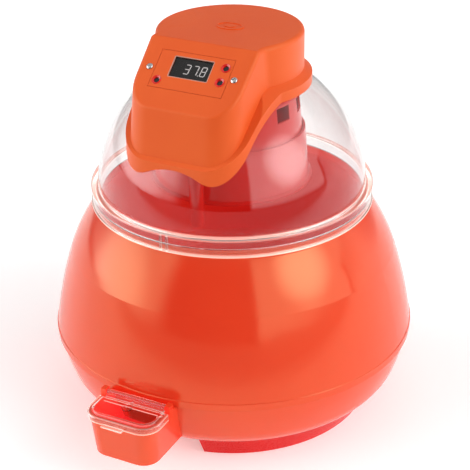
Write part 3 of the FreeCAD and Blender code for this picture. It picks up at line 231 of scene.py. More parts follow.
# Painted shade: the foot ring gets a darker, deeper red copy of the shell plastic with little gloss, for a
# foot that stands in shade
FOOT_SHADED = moulded("foot_gloss_painted_shade", (0.70, 0.012, 0.010), (0.64, 0.010, 0.008), 0.25, 1e-4, (900.0, 4e-6),
               Specular_IOR_Level=0.12)
TRIM = moulded("window_trim", (0.62, 0.30, 0.22), (0.55, 0.26, 0.20), 0.3, 1e-5, (1500.0, 1e-5))
print("plastics: 10 finishes")

# %% [markdown]
# ## Clear plastic
# The dome and the spout's lid are clear polished plastic. A closed wall with a real thickness bends light at
# its rims. A real rim also pipes light along from the rest of the wall, which few light paths would find, so
# the rims get a weak pale painted glow, as emission, in its place.

# %% Clear and smoked plastics


def clear(name, colour, roughness, ripple, through):
    """A see-through plastic with a faint ripple in its wall. Rays that look for a light, and rays
    that bounced off a dull surface, go straight through it, so what it covers stays bright."""
    made = Finish(name, Transmission_Weight=1.0, IOR=1.46)
    haze = made.noise(140.0, 5.0, 0.65).between(0.5, 0.8)
    made.set(
        Base_Color=made.mix(haze, colour, tuple(0.985 * c for c in colour)),
        Roughness=roughness + haze * 0.03,
        Normal=made.bump(made.noise(22.0, 1.0), ripple),
    )
    shadow = made.add("ShaderNodeLightPath", out="Is Shadow Ray")
    bounced = made.add("ShaderNodeLightPath", out="Is Diffuse Ray")
    passing = shadow.maths("MAXIMUM", shadow, bounced)
    straight = made.add("ShaderNodeBsdfTransparent", sockets={"Color": through})
    glass = Wire(made, made.surface.outputs[0])
    shown = made.add("ShaderNodeMixShader", sockets={0: passing, 1: glass, 2: straight})
    made.feed(made.output.inputs["Surface"], shown)
    return made


RIM_SOFT = 0.0002
BAND_TOP = 0.2325
RIM_PAINTED_GLOW = (0.30, 0.20, 0.17)


def painted_rim_glow(made, rims, colour):
    """A painted pale glow, as emission, on faces between each pair of heights, in place of light piped along
    a clear moulding.
    """
    height = made.add("ShaderNodeSeparateXYZ", sockets={0: made.place()}, out="Z")
    shares = [height.between(low - RIM_SOFT, low + RIM_SOFT)
              * (1.0 - height.between(high - RIM_SOFT, high + RIM_SOFT)) for low, high in rims]
    return painted_glow(made, sum(shares[1:], shares[0]), colour)


CLEAR = clear("dome_clear", (0.90, 0.885, 0.88), 0.01, 8e-5, (0.95, 0.95, 0.95))
SMOKED = clear("display_smoked", (0.40, 0.37, 0.36), 0.02, 1e-5, (0.5, 0.5, 0.5))
band_low, lid_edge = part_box("dome")[0].z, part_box("spout_lid")[0].z
lid_bevel = (0.0811, 0.0818)
painted_rim_glow(CLEAR, [(band_low - 0.001, band_low + 0.0016), (BAND_TOP - 0.0016, BAND_TOP + 0.0006),
                 (lid_edge - 0.001, lid_edge + 0.0009), lid_bevel], RIM_PAINTED_GLOW)
print("clear plastics: 2 finishes")

# %% [markdown]
# ## Metals, board and digits
# The screws, the motor and the heater are metal. A turned or drawn metal is never even: its
# roughness runs in streaks, and heat leaves brown and straw tones on the heater.

# %% Metals and electronics


def metal(name, colour, stain, roughness, streak):
    """A bare metal: streaky roughness, stained in soft patches."""
    made = Finish(name, Metallic=1.0)
    stretch = (streak, streak, streak * 0.05)
    long_way = made.add("ShaderNodeMapping", sockets={"Vector": made.place(), "Scale": stretch})
    lines = made.noise(1.0, 4.0, 0.6, place=long_way)
    patch = made.noise(70.0, 4.0, 0.6).between(0.45, 0.7)
    return made.set(
        Base_Color=made.mix(patch, colour, stain),
        Roughness=roughness + lines * 0.18,
        Normal=made.bump(lines, 8e-6),
    )


STEEL = metal("zinc_steel", (0.66, 0.66, 0.67), (0.56, 0.56, 0.58), 0.22, 900.0)
ALUMINIUM = metal("bare_aluminium", (0.78, 0.78, 0.79), (0.68, 0.68, 0.70), 0.28, 700.0)
SHEATH = metal("heater_sheath", (0.36, 0.33, 0.30), (0.22, 0.15, 0.11), 0.42, 500.0)
BOARD = moulded("board_green", (0.012, 0.10, 0.04), (0.02, 0.14, 0.06), 0.30, 1e-5, (700.0, 1e-5))
DIGITS = Finish("lit_digits", Roughness=0.5, Emission_Strength=1.7)
glow = DIGITS.noise(900.0).between(0.2, 0.8)
lit_colour = DIGITS.mix(glow, (0.80, 0.80, 0.80), (0.70, 0.71, 0.74))
DIGITS.set(Base_Color=lit_colour, Emission_Color=lit_colour)

FINISHES = {
    "orange_gloss": GLOSS, "orange_satin": SATIN, "clear_plastic": CLEAR, "red_plastic": RED,
    "dark_plastic": DARK, "smoked_window": SMOKED, "lit_digits": DIGITS, "rubber": RUBBER,
    "steel": STEEL, "board_green": BOARD, "ceramic": CERAMIC, "heater_sheath": SHEATH,
    "aluminium": ALUMINIUM, "white_plastic": WHITE,
}
OWN = {"spout_hinge_pin": RED, "water_spout": SPOUT, "foot_ring": FOOT_SHADED}
for name, node in nodes.items():
    for place in node.material_slots:
        finish = OWN.get(name, FINISHES[place.material.name])
        place.material = finish.material
print("finishes:", len(FINISHES))

# %% [markdown]
# ## Surfaces from arrays
# The new pieces are grids of points. A profile is a line of corners in a plane, softened where a
# mould would leave a radius. It is turned round the axis, or carried along a path, as one array.

# %% Profiles, grids and meshes


def soften(corners, radius, steps=6):
    """An open line of corners with each inner one rounded: from the point a radius before the corner c
    to the point b a radius after it, along (1-t)^2 a + 2t(1-t) c + t^2 b for t from 0 to 1."""
    c = np.asarray(corners, float)
    inner, before, after = c[1:-1], c[:-2] - c[1:-1], c[2:] - c[1:-1]
    before_len = np.linalg.norm(before, axis=1, keepdims=True)
    after_len = np.linalg.norm(after, axis=1, keepdims=True)
    reach = np.minimum(radius, 0.45 * np.minimum(before_len, after_len))
    a, b = inner + before / before_len * reach, inner + after / after_len * reach
    t = np.linspace(0, 1, steps)[None, :, None]
    rounded = (1 - t) ** 2 * a[:, None] + 2 * t * (1 - t) * inner[:, None] + t ** 2 * b[:, None]
    return np.concatenate([c[:1], rounded.reshape(-1, c.shape[1]), c[-1:]])


def grid_faces(rows, columns, wrap_rows, wrap_columns):
    """The four corners of each cell of a grid whose points are numbered row by row."""
    i = np.arange(rows if wrap_rows else rows - 1)[:, None]
    j = np.arange(columns if wrap_columns else columns - 1)[None, :]
    up, along = (i + 1) % rows, (j + 1) % columns
    return np.stack([i * columns + j, i * columns + along, up * columns + along, up * columns + j],
                    -1).reshape(-1, 4)


def shaped(name, parts, body, finish, stands_for=(), sharp=40.0):
    """An object from closed parts, each (points, faces): faces are turned outwards by the sign of
    the volume, a sum of a . (b x c) / 6 over triangles. It rides on body."""
    points, loops, sizes, offset = [], [], [], 0
    for cloud_points, faces in parts:
        v = np.asarray(cloud_points, float).reshape(-1, 3)
        corner = v[faces]
        volume = sum(np.einsum("ij,ij->i", corner[:, 0], np.cross(corner[:, k], corner[:, k + 1])).sum()
                     for k in range(1, faces.shape[1] - 1))
        faces = faces[:, ::-1] if volume < 0 else faces
        points.append(v)
        loops.append((faces + offset).ravel())
        sizes.append(np.full(len(faces), faces.shape[1]))
        offset += len(v)
    v, loop, size = np.concatenate(points), np.concatenate(loops), np.concatenate(sizes)
    mesh = bpy.data.meshes.new(name)
    mesh.vertices.add(len(v))
    mesh.vertices.foreach_set("co", v.astype(np.float32).ravel())
    mesh.loops.add(len(loop))
    mesh.loops.foreach_set("vertex_index", loop.astype(np.int32))
    mesh.polygons.add(len(size))
    mesh.polygons.foreach_set("loop_start", (np.cumsum(size) - size).astype(np.int32))
    mesh.polygons.foreach_set("loop_total", size.astype(np.int32))
    mesh.update(calc_edges=True)
    mesh.shade_smooth()
    mesh.set_sharp_from_angle(angle=math.radians(sharp))
    mesh.materials.append(finish.material)
    made = bpy.data.objects.new(name, mesh)
    bpy.context.scene.collection.objects.link(made)
    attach(made, body)
    for node in stands_for:
        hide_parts(node)
    print(name, len(v), "points,", len(size), "faces")


def turned_part(profile, turns):
    """A closed profile of (r, z) points turned about Z: x = r cos a, y = r sin a, a once round."""
    a = np.linspace(0, 2 * np.pi, turns, endpoint=False)
    r, z = profile[:, 0:1], profile[:, 1:2]
    grid = np.stack([r * np.cos(a), r * np.sin(a), z + 0 * a], -1)
    return grid, grid_faces(*grid.shape[:2], True, True)


# %% [markdown]
# ## Clear dome
# The dome is one thin moulding: a straight band with a bead at each edge sits over the shell's neck,
# and a spherical wall rises from it to the round hole that the drum passes through. It is turned from
# one profile, because only an exact round wall mirrors the studio in smooth upright bands. A small
# key on the band's front shows which way round the dome goes.

# %% Dome
dome_low, dome_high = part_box("dome")
BAND_OUT, BAND_MID, BAND_IN = dome_high.x, dome_high.x - 0.0011, 0.1328
WALL_R, WALL_T, CENTRE_Z, HOLE_R = 0.131, 0.0020, 0.228, 0.064
BAND_LOW, NECK_Z = dome_low.z, 0.2213
BEAD_FLAT, BEAD_END = 0.0017, 0.0027
DOME_TURNS = 288


def sphere_arc(radius, start_z, end_r, count):
    """(r, z) along a sphere about the dome's centre, from a height to a distance from the axis."""
    first = math.asin((start_z - CENTRE_Z) / radius)
    last = math.acos(end_r / radius)
    angle = np.linspace(first, last, count)
    return np.stack([radius * np.cos(angle), CENTRE_Z + radius * np.sin(angle)], -1)


outer_arc = sphere_arc(WALL_R, BAND_TOP, HOLE_R, 72)
inner_arc = sphere_arc(WALL_R - WALL_T, CENTRE_Z, HOLE_R, 72)[::-1]
band = soften([(BAND_IN, NECK_Z), (BAND_IN, BAND_LOW), (BAND_OUT, BAND_LOW),
               (BAND_OUT, BAND_LOW + BEAD_FLAT), (BAND_MID, BAND_LOW + BEAD_END),
               (BAND_MID, BAND_TOP - BEAD_END), (BAND_OUT, BAND_TOP - BEAD_FLAT),
               (BAND_OUT, BAND_TOP), outer_arc[0], outer_arc[1]], 0.0006)
hole_rim = soften([outer_arc[-2], outer_arc[-1], inner_arc[0], inner_arc[1]], 0.0007)
neck_step = soften([inner_arc[-2], inner_arc[-1], (WALL_R - WALL_T, NECK_Z), (BAND_IN, NECK_Z)], 0.0007)
dome_profile = np.concatenate([band[:-1], outer_arc[2:-2], hole_rim, inner_arc[2:-2], neck_step[:-1]])


def softened_bar(low, high, radius, steps=5):
    """A closed bar between two corners with rounded upright edges: rings of a rounded square, drawn
    in at the ends by the radius."""
    (x0, y0, z0), (x1, y1, z1) = low, high
    q = np.linspace(0, np.pi / 2, steps)
    corner = [(x1, y1, 0), (x0, y1, 1), (x0, y0, 2), (x1, y0, 3)]
    ring = np.concatenate([np.stack([
        cx + radius * (np.cos(q + k * np.pi / 2) - np.sign(cx - (x0 + x1) / 2)),
        cy + radius * (np.sin(q + k * np.pi / 2) - np.sign(cy - (y0 + y1) / 2))], -1)
        for cx, cy, k in corner])
    middle = np.array([(x0 + x1) / 2, (y0 + y1) / 2])
    t = np.linspace(0, np.pi / 2, steps)
    draw = radius * (1 - np.sin(t))
    levels = np.concatenate([z0 + radius * (1 - np.cos(t)), z1 - radius * (1 - np.cos(t[::-1]))])
    inset = np.concatenate([draw, draw[::-1]])[:, None, None]
    half = np.array([x1 - x0, y1 - y0]) / 2
    rings = middle + (ring - middle)[None] * (1 - inset / half)
    return closed_ends(np.concatenate([rings, levels[:, None, None] + 0 * rings[:, :, :1]], -1))


def closed_ends(grid):
    """A tube of rings closed at both ends by a fan of triangles; returns points and faces."""
    rows, columns = grid.shape[:2]
    points = np.concatenate([grid.reshape(-1, 3), grid[0].mean(0)[None], grid[-1].mean(0)[None]])
    quads = grid_faces(rows, columns, False, True)
    j = np.arange(columns)
    k = (j + 1) % columns
    first, last = rows * columns, rows * columns + 1
    top = (rows - 1) * columns
    low_fan = np.stack([k, j, np.full(columns, first)], -1)
    top_fan = np.stack([top + j, top + k, np.full(columns, last)], -1)
    return points, np.concatenate([quads[:, [0, 1, 2]], quads[:, [0, 2, 3]], low_fan, top_fan])


KEY_HALF, KEY_APART, KEY_SOFT = 0.0009, 0.0032, 0.0004
key = [softened_bar((x - KEY_HALF, -BAND_OUT - 0.0004, BAND_LOW + 0.0006),
                    (x + KEY_HALF, -BAND_MID + 0.0008, BAND_TOP - 0.0006), KEY_SOFT)
       for x in (-KEY_APART, KEY_APART)]
shaped("dome_wall", [turned_part(dome_profile, DOME_TURNS)] + key, "lid", CLEAR,
       ["dome"])

# %% [markdown]
# ## Filler lid
# The lid is a shallow clear tray turned upside down. Its plan is a rectangle with two round front
# corners. Going inwards from the rim, the skirt rises, the edge turns over in a bright bevel, and a
# step lifts the middle. Each stage is the same plan drawn in by an inset, so the lid is one grid.

# %% Filler lid
lid_low, lid_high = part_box("spout_lid")
spout_low, spout_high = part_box("water_spout")
LID_X = (spout_low.x + spout_high.x) / 2
LID_HALF = (lid_high.x - lid_low.x) / 2
LID_FRONT, LID_BACK, LID_CORNER, LID_INSET = spout_low.y - 0.0018, -0.1936, 0.0178, 0.0150
HINGE_Y, HINGE_Z, HINGE_HALF, TROUGH_TOP = -0.1885, 0.0845, 0.031, 0.080
BARREL_R, BARREL_BORE = 0.0026, 0.00135
LID_T, LID_RISE, BACK_CORNER = 0.0018, 0.0022, 0.0012
SKIRT_Z, PLATE_Z = lid_low.z, TROUGH_TOP + 0.0019
TOP_Z = PLATE_Z + LID_RISE


def lid_plan(inset, count=20):
    """The lid's plan drawn in by an inset: straight back corners, and front corners whose radius
    shrinks with the inset. Points run once round, the same count on each side."""
    half, front, back_y = LID_HALF - inset, LID_FRONT + inset, LID_BACK - 0.5 * inset
    radius = max(LID_CORNER - inset, 0.0015)
    side, deep = half - BACK_CORNER, back_y - BACK_CORNER
    spots = [(side, deep, BACK_CORNER, 0), (-side, deep, BACK_CORNER, 1),
             (-half + radius, front + radius, radius, 2), (half - radius, front + radius, radius, 3)]
    q = np.linspace(0, np.pi / 2, count)
    arcs = [np.stack([x + r * np.cos(q + k * np.pi / 2), y + r * np.sin(q + k * np.pi / 2)], -1)
            for x, y, r, k in spots]
    ring = np.concatenate([np.concatenate([arc, np.linspace(arc[-1], nxt[0], 10)[1:-1]])
                           for arc, nxt in zip(arcs, arcs[1:] + arcs[:1])])
    return ring + [LID_X, 0.0]


# Each stage is an inset from the rim and a height: down the top and the skirt, then up the underside
lid_top = [(LID_INSET, TOP_Z), (0.0062, TOP_Z), (0.0040, PLATE_Z + 0.0003), (0.0032, PLATE_Z),
           (0.0012, PLATE_Z), (0.0, PLATE_Z - 0.0012), (0.0, SKIRT_Z), (0.0008, SKIRT_Z), (0.0017, SKIRT_Z)]
lid_under = [(0.0017, SKIRT_Z), (0.0017, PLATE_Z - LID_T), (0.0046, PLATE_Z - LID_T),
             (0.0068, TOP_Z - LID_T), (LID_INSET, TOP_Z - LID_T)]
lid_line = np.concatenate([soften(lid_top, 0.0006, 5), soften(lid_under, 0.0005, 4)[1:]])
lid_grid = np.stack([np.insert(lid_plan(inset), 2, z, axis=1) for inset, z in lid_line])


def tube_along_x(outer, bore, x0, x1, y, z, turns=40):
    """A hollow bar along X with softened ends: a closed (r, x) profile turned about the line y, z."""
    profile = np.concatenate([soften([(bore, x0), (outer, x0), (outer, x1), (bore, x1)], 0.0004),
                              [(bore, x0)]])[:-1]
    a = np.linspace(0, 2 * np.pi, turns, endpoint=False)
    r, x = profile[:, 0:1], profile[:, 1:2]
    grid = np.stack([x + 0 * a, y + r * np.cos(a), z + r * np.sin(a)], -1)
    return grid, grid_faces(*grid.shape[:2], True, True)


barrel = tube_along_x(BARREL_R, BARREL_BORE, LID_X - HINGE_HALF, LID_X + HINGE_HALF, HINGE_Y, HINGE_Z)
LEAF_HALF, LEAF_BACK, TAB_LEFT, TAB_RIGHT = 0.0308, -0.1862, 0.013, 0.009
leaf = softened_bar((LID_X - LEAF_HALF, LID_BACK + 0.0002, PLATE_Z - LID_T),
                    (LID_X + LEAF_HALF, LEAF_BACK, PLATE_Z), 0.0006)
tab = softened_bar((LID_X - TAB_LEFT, lid_low.y, SKIRT_Z + 0.0002),
                   (LID_X + TAB_RIGHT, LID_FRONT + 0.0010, SKIRT_Z + LID_T), 0.0008)
shaped("filler_lid", [closed_ends(lid_grid), barrel, leaf, tab], "filler_lid", CLEAR,
       ["spout_lid"], sharp=50.0)

# %% [markdown]
# ## Display digits
# The reading is three seven-segment digits. Each stroke is a long hexagon, mitred at both ends, so
# that neighbouring strokes leave a thin dark gap. All strokes come from one hexagon, scaled, turned
# and shifted as one array, then tilted into the panel's plane.

# %% Display digits and window edge
PANEL_TILT = math.radians(39.6)
PANEL_Y, PANEL_Z = -0.0764, 0.366
WINDOW_X, WINDOW_Y, WINDOW_W, WINDOW_H = -0.0021, 0.0041, 0.0398, 0.0216
DIGIT_W, DIGIT_H, DIGIT_PITCH, STROKE, SLANT = 0.0046, 0.0094, 0.0082, 0.00075, 0.09
DIGITS_X = WINDOW_X + 0.0036
STROKE_GAP, POINT_R, POINT_PLACE = 0.00012, 0.0005, 0.47
GLOW_LOW, GLOW_HIGH = -0.0026, -0.0023


def on_panel(points):
    """Points of the panel's own plane (across, up, out) tilted into place: y' = y cos t - z sin t and
    z' = y sin t + z cos t, then shifted to the panel's middle."""
    x, y, z = np.moveaxis(np.asarray(points, float), -1, 0)
    c, w = math.cos(PANEL_TILT), math.sin(PANEL_TILT)
    return np.stack([x, PANEL_Y + y * c - z * w, PANEL_Z + y * w + z * c], -1)


BARS = {"a": (0, 2, 1), "b": (1, 1, 0), "c": (1, -1, 0), "d": (0, -2, 1), "e": (-1, -1, 0), "f": (-1, 1, 0),
        "g": (0, 0, 1)}
LIT = {"3": "abgcd", "7": "abc", "8": "abcdefg"}
lit = np.array([(k - 1, *BARS[letter]) for k, digit in enumerate("378") for letter in LIT[digit]])
flat_bar = lit[:, 3:4] == 1
long_half = np.where(flat_bar, DIGIT_W, DIGIT_H / 2) / 2 - STROKE_GAP
half = STROKE / 2
# The hexagon's corners: its ends stand at the stroke's full length, its sides half a stroke nearer
along_bar = long_half * [-1, -1, 1, 1, 1, -1] + half * np.array([0, 1, -1, 0, -1, 1])
across_bar = half * np.array([0, -1, -1, 0, 1, 1]) + 0 * long_half
bar_x = np.where(flat_bar, along_bar, across_bar) + lit[:, 1:2] * DIGIT_W / 2
bar_y = np.where(flat_bar, across_bar, along_bar) + lit[:, 2:3] * DIGIT_H / 4
bar_x = bar_x + SLANT * bar_y + lit[:, 0:1] * DIGIT_PITCH + DIGITS_X
point_ring = np.linspace(0, 2 * np.pi, 6, endpoint=False)
point_x = DIGITS_X + POINT_PLACE * DIGIT_PITCH + POINT_R * np.cos(point_ring)
point_y = POINT_R * np.sin(point_ring) - DIGIT_H / 2
outlines = np.stack([np.vstack([bar_x, point_x]), np.vstack([bar_y, point_y]) + WINDOW_Y], -1)


def raised(outline, low, high):
    """A flat outline on the panel made solid between two heights, closed at both ends."""
    return closed_ends(on_panel(np.stack([np.insert(outline, 2, z, axis=1) for z in (low, high)])))


strokes = [raised(outline, GLOW_LOW, GLOW_HIGH) for outline in outlines]
shaped("digit_strokes", strokes, "lid", DIGITS, ["display_digits"], sharp=30.0)


def window_ring(out, z, count=10):
    """The window's outline grown by out, as (across, up, z) points once round: four quarter circles
    about the corners' middles, joined by straight sides."""
    corner = EDGE_CORNER + out
    half_w, half_h = WINDOW_W / 2 - EDGE_IN + out - corner, WINDOW_H / 2 - EDGE_IN + out - corner
    q = np.linspace(0, np.pi / 2, count)
    spots = [(half_w, half_h, 0), (-half_w, half_h, 1), (-half_w, -half_h, 2), (half_w, -half_h, 3)]
    return np.concatenate([np.stack([WINDOW_X + x + corner * np.cos(q + k * np.pi / 2),
                                     WINDOW_Y + y + corner * np.sin(q + k * np.pi / 2),
                                     np.full(count, z)], -1) for x, y, k in spots])


EDGE_IN, EDGE_CORNER, EDGE_W, EDGE_UP = 0.0004, 0.0006, 0.00075, 0.00005
edge_line = soften([(0.0, -0.0009), (0.0, EDGE_UP), (EDGE_W, EDGE_UP), (EDGE_W, -0.0002), (0.0004, -0.0009)],
                   0.0001, 4)
edge_grid = on_panel(np.stack([window_ring(out, z) for out, z in edge_line]))
shaped("window_edge", [(edge_grid, grid_faces(*edge_grid.shape[:2], True, True))], "lid", TRIM)

# %% [markdown]
# ## Panel screws
# Two small pan-head screws hold the panel. The head is a low dome with a cross pressed into it. It
# is a height field over rings and bearings: the dome's height, less a cross-shaped hollow.

# %% Panel screws
screw_low, screw_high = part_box("panel_screws")
HEAD_R, HEAD_H, CROSS_LONG, CROSS_HALF, CROSS_DEEP = 0.0030, 0.0014, 0.0020, 0.00042, 0.0011
CROSS_SOFT, HEAD_LOW, HEAD_UP = 0.0002, 0.00002, 0.0001


def screw_head(x, y):
    """A screw head on the panel: z = h (1 - 0.55 (r / R)^4) less a cross hollow, whose edge is a
    smooth step on the distance from the cross's arms, closed by a skirt down to a flat base."""
    ring = np.linspace(0.02, 1.0, 30)[::-1, None]
    bearing = np.linspace(0, 2 * np.pi, 96, endpoint=False)[None]
    across, up_way = HEAD_R * ring * np.cos(bearing), HEAD_R * ring * np.sin(bearing)
    arm = np.minimum(np.maximum(np.abs(across) - CROSS_LONG, np.abs(up_way) - CROSS_HALF),
                     np.maximum(np.abs(up_way) - CROSS_LONG, np.abs(across) - CROSS_HALF))
    hollow = np.clip(0.5 - arm / CROSS_SOFT, 0, 1)
    hollow = hollow * hollow * (3 - 2 * hollow)
    top = HEAD_H * (1 - 0.55 * ring ** 4) + 0 * bearing - CROSS_DEEP * hollow
    base = np.stack([across[:1] * 0.98, up_way[:1] * 0.98, 0 * top[:1]], -1)
    grid = np.concatenate([base, np.stack([across, up_way, top], -1)])
    return closed_ends(on_panel(grid + [x, y, HEAD_LOW]))


screw_y = ((screw_low.y + screw_high.y) / 2 - PANEL_Y) * math.cos(PANEL_TILT) + (
    (screw_low.z + screw_high.z) / 2 - PANEL_Z) * math.sin(PANEL_TILT) + HEAD_UP
heads = [screw_head(x, screw_y) for x in (screw_low.x + HEAD_R, screw_high.x - HEAD_R)]
shaped("panel_screw_heads", heads, "lid", STEEL, ["panel_screws"])

# %% [markdown]
# ## Heater
# The heater is an open spiral of resistance wire wound into a ring under the fan. The wire follows a
# small circle that turns many times while it goes once round the drum, and a round section is
# carried along that path.

# %% Heater coil
heat_low, heat_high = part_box("heater_coil")
COIL_Z = (heat_low.z + heat_high.z) / 2
COIL_TUBE = (heat_high.z - heat_low.z) / 2
COIL_RING = heat_high.x - COIL_TUBE
WIRE, COIL_TURNS, COIL_STEPS, WIRE_SIDES = 0.00045, 96, 18, 8
bearing = np.linspace(0, 2 * np.pi, COIL_TURNS * COIL_STEPS, endpoint=False)[:, None]
phase, radius = COIL_TURNS * bearing, COIL_TUBE - WIRE
radial = np.concatenate([np.cos(bearing), np.sin(bearing), 0 * bearing], 1)
sideways = np.concatenate([-np.sin(bearing), np.cos(bearing), 0 * bearing], 1)
upright = np.array([0.0, 0.0, 1.0])
out = radial * np.cos(phase) + upright * np.sin(phase)
path = radial * COIL_RING + out * radius + upright * COIL_Z
# The path's direction is its derivative by bearing; out is square to it, and so is their cross product
run = (-radial * np.sin(phase) + upright * np.cos(phase)) * radius * COIL_TURNS + sideways * (
    COIL_RING + radius * np.cos(phase))
run /= np.linalg.norm(run, axis=1, keepdims=True)
other = np.cross(run, out)
round_wire = np.linspace(0, 2 * np.pi, WIRE_SIDES, endpoint=False)[None, :, None]
wire_grid = path[:, None] + WIRE * (out[:, None] * np.cos(round_wire) + other[:, None] * np.sin(round_wire))
shaped("heater_spiral", [(wire_grid, grid_faces(*wire_grid.shape[:2], True, True))], "lid", SHEATH,
       ["heater_coil"])

# %% [markdown]
# ## Fan
# The fan has a turned hub and seven curved blades. A blade is a thin section, thick in the middle
# and round at its edges, that is carried from the hub to the tip while its pitch falls off and its
# leading edge sweeps forward.

# %% Fan impeller
fan_low, fan_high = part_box("fan_impeller")
shaft_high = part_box("fan_shaft")[1]
FAN_R, HUB_R, BLADES, PITCH, CHORD, BLADE_T = 0.046, 0.012, 7, math.radians(32.0), 0.0170, 0.0016
fan_mid = (fan_low.z + fan_high.z) / 2
BORE_R, HUB_SOFT, TIP_R, ROOT_R = shaft_high.x + 0.00005, 0.002, FAN_R - 0.0006, HUB_R - 0.0015
hub_line = soften([(BORE_R, fan_low.z), (HUB_R - HUB_SOFT, fan_low.z), (HUB_R, fan_low.z + HUB_SOFT),
                   (HUB_R, fan_high.z), (BORE_R, fan_high.z)], 0.0012)
CAMBER, SWEEP = 0.0011, 0.003
u = np.linspace(0, 1, 20)[:, None]  # from root to tip
v = np.linspace(0, 2 * np.pi, 28, endpoint=False)[None, :]  # once round the section
chord = CHORD * (0.72 + 0.28 * u) * (1 - 0.35 * u ** 6)
along_chord = chord / 2 * np.cos(v)
lift = BLADE_T / 2 * np.sin(v) * (1 - 0.5 * u) + CAMBER * (1 - np.cos(v) ** 2)
pitch = PITCH * (1 - 0.25 * u)
side = along_chord * np.cos(pitch) - lift * np.sin(pitch) + SWEEP * u ** 2
rise = along_chord * np.sin(pitch) + lift * np.cos(pitch)
reach_out = ROOT_R + (TIP_R - ROOT_R) * u + 0 * v
inward = np.minimum(1.0, (FAN_R - 0.0004) / np.hypot(reach_out, side))
fan_parts = [turned_part(hub_line, 72)]
for bearing in np.linspace(0, 2 * np.pi, BLADES, endpoint=False):
    x = (reach_out * np.cos(bearing) - side * np.sin(bearing)) * inward
    y = (reach_out * np.sin(bearing) + side * np.cos(bearing)) * inward
    fan_parts.append(closed_ends(np.stack([x, y, fan_mid + rise], -1)))
shaped("fan_blades", fan_parts, "fan", DARK, ["fan_impeller"])

# %% [markdown]
# ## Studio
# The object stands on a sheet of white paper that curves up behind it. A flat floor would end in a
# horizon line. The sheet is one grid: a straight run, a quarter circle and an upright.

# %% Floor


def floor_sheet(half, back, rise, bend):
    """A floor that curves up into a backdrop: flat to `back`, then a quarter round of radius
    bend, then up to `rise`."""
    turn = np.linspace(0, np.pi / 2, 24)
    along = np.concatenate([[-half], back + bend * np.sin(turn), [back + bend]])
    up = np.concatenate([[0.0], bend * (1 - np.cos(turn)), [rise]])
    across = np.linspace(-half, half, 9)
    x, i = np.meshgrid(across, np.arange(len(along)))
    points = np.stack([x, along[i], up[i]], -1).reshape(-1, 3)
    mesh = bpy.data.meshes.new("floor")
    mesh.from_pydata(points.tolist(), [], grid_faces(*x.shape, False, False).tolist())
    mesh.shade_smooth()
    made = bpy.data.objects.new("floor", mesh)
    bpy.context.scene.collection.objects.link(made)
    return made


floor = floor_sheet(12.0, 3.2, 4.0, 1.5)
PAPER = Finish("paper", Roughness=0.9, Specular_IOR_Level=0.1, Emission_Strength=0.36)
FRONT_BEARING = math.radians(27.0)
front_way = (math.sin(FRONT_BEARING), -math.cos(FRONT_BEARING), 0.0)
FRONT_FADE, BACK_FADE = (0.28, 1.0), (1.9, 3.2)
# Painted shade: the paper is painted grey, with its glow turned off, some way in front and far behind, so the
# gloss mirrors less white from there
reach = PAPER.along(front_way)
white = PAPER.mix(PAPER.noise(3.0), (0.93, 0.93, 0.93), (0.92, 0.92, 0.92))
fade = reach.maths("MAXIMUM", reach.between(*FRONT_FADE), (reach * -1.0).between(*BACK_FADE))
PAPER.set(Base_Color=PAPER.mix(fade, white, (0.40, 0.40, 0.40)),
          Emission_Color=PAPER.mix(fade, white, (0.0, 0.0, 0.0)))
floor.data.materials.append(PAPER.material)
print("floor: 1 sheet of paper")

# %% [markdown]
# ## Camera
# A long lens from some way off keeps the object's proportions true. The camera is placed by a
# bearing, an elevation and a distance from a point on the axis, because these three can be changed
# one at a time.

# %% Camera
AZIMUTH = math.radians(27.25)
ELEVATION = math.radians(25.4)
DISTANCE = 1.380
LENS = 107.2
SENSOR = 36.0
AIM = Vector((0.0, 0.0, 0.2146))
back = Vector((math.sin(AZIMUTH) * math.cos(ELEVATION), -math.cos(AZIMUTH) * math.cos(ELEVATION),
               math.sin(ELEVATION)))
right = Vector((math.cos(AZIMUTH), math.sin(AZIMUTH), 0.0))
up = back.cross(right)
# The view points a little off the aim, given in millimetres on the sensor, and rolls slightly
OFF_RIGHT, OFF_DOWN = 0.1685, 3.197
view = (-back * LENS + right * OFF_RIGHT - up * OFF_DOWN).normalized()
ROLL = math.radians(-0.73)

lens = bpy.data.cameras.new("camera")
lens.lens = LENS
lens.sensor_width = SENSOR
lens.clip_start = 0.01
camera = bpy.data.objects.new("camera", lens)
bpy.context.scene.collection.objects.link(camera)
camera.location = AIM + back * DISTANCE
camera.rotation_mode = "QUATERNION"
turn = (-view).to_track_quat("Z", "Y")
camera.rotation_quaternion = turn @ Euler((0, 0, ROLL)).to_quaternion()
bpy.context.scene.camera = camera
print("camera: lens", LENS, "mm, distance", DISTANCE, "m")

# %% [markdown]
# ## Light
# The object stands inside a tent of light with two bright walls, and a dark gap between them in
# front and behind. The walls draw the tall pale bands on the shell, the gap keeps its middle deep
# red, and a soft bright patch in each wall gives the highlights. The tent is the world's own light
# and not a set of lamps, so nothing stands in the way when the view moves round.

# %% Light tent
world = bpy.data.worlds.new("studio")
bpy.context.scene.world = world
world.use_nodes = True
sky = Network(world.node_tree)


# Bearings of the walls' edges in radians, each as the start and end of a soft step
LEFT_EDGE, RIGHT_EDGE, WALL_END, END_LOSS = (0.72, 1.0), (0.24, 0.30), (1.8, 2.5), 0.9
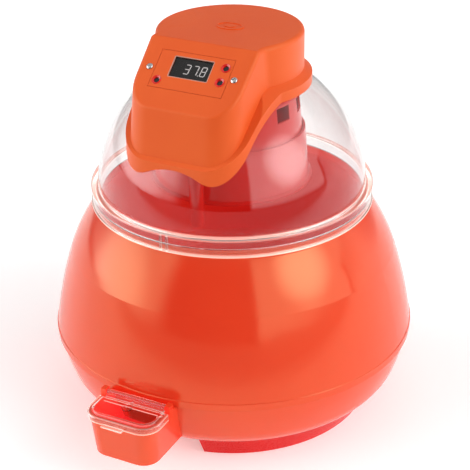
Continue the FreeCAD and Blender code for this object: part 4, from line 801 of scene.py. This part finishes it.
# Heights on the unit sphere of light, between which the walls and the roof rise and fade
WALL_FOOT, WALL_TOP, ROOF_RISE = (-0.04, 0.06), (0.62, 0.88), (0.6, 0.95)
WALL_LIGHT, ROOF_LIGHT, DIM_LIGHT = 1.6, 0.55, 0.04
# Bearing, elevation and spread in degrees, and gain, of the soft bright patch in each wall
GLOWS = [(56, 30, 24, 3.6), (-88, 8, 32, 2.4)]


def heading(bearing, elevation):
    """The direction at a bearing from the camera's, and an elevation, in degrees."""
    a, e = AZIMUTH + math.radians(bearing), math.radians(elevation)
    return Vector((math.sin(a) * math.cos(e), -math.cos(a) * math.cos(e), math.sin(e)))


def tent(net):
    """The light that comes from each direction: two bright walls, a softer roof, and a dim rest. The
    bearing is 0 towards the camera and grows to its right: the arctangent of the share of a
    direction that runs across the view, over the share that runs towards the camera."""
    way = net.add("ShaderNodeTexCoord", out="Generated")

    def share(of):
        return net.add("ShaderNodeVectorMath", {"operation": "DOT_PRODUCT"}, {0: way, 1: tuple(of)}, "Value")

    across, along = share(right), share(Vector((back.x, back.y, 0)).normalized())
    height = net.add("ShaderNodeSeparateXYZ", sockets={0: way}, out="Z")
    bearing = net.add("ShaderNodeMath", {"operation": "ARCTAN2"}, {0: across, 1: along})
    leftward = bearing * -1.0
    left_wall = leftward.between(*LEFT_EDGE) * (1.0 - leftward.between(*WALL_END) * END_LOSS)
    right_wall = bearing.between(*RIGHT_EDGE) * (1.0 - bearing.between(*WALL_END) * END_LOSS)
    walls = (left_wall + right_wall) * height.between(*WALL_FOOT) * (1.0 - height.between(*WALL_TOP))
    light = walls * WALL_LIGHT + height.between(*ROOF_RISE) * ROOF_LIGHT + DIM_LIGHT
    for bearing_deg, elevation_deg, wide_deg, gain in GLOWS:
        nearness = share(heading(bearing_deg, elevation_deg))
        light = light + nearness.between(math.cos(math.radians(wide_deg)), 1.0) * gain
    return light


sky.feed(world.node_tree.nodes["Background"].inputs["Strength"], tent(sky))
world.node_tree.nodes["Background"].inputs["Color"].default_value = (1, 1, 1, 1)
bpy.context.scene.view_settings.view_transform = "Standard"
print("light: a tent with", len(GLOWS), "bright patches")
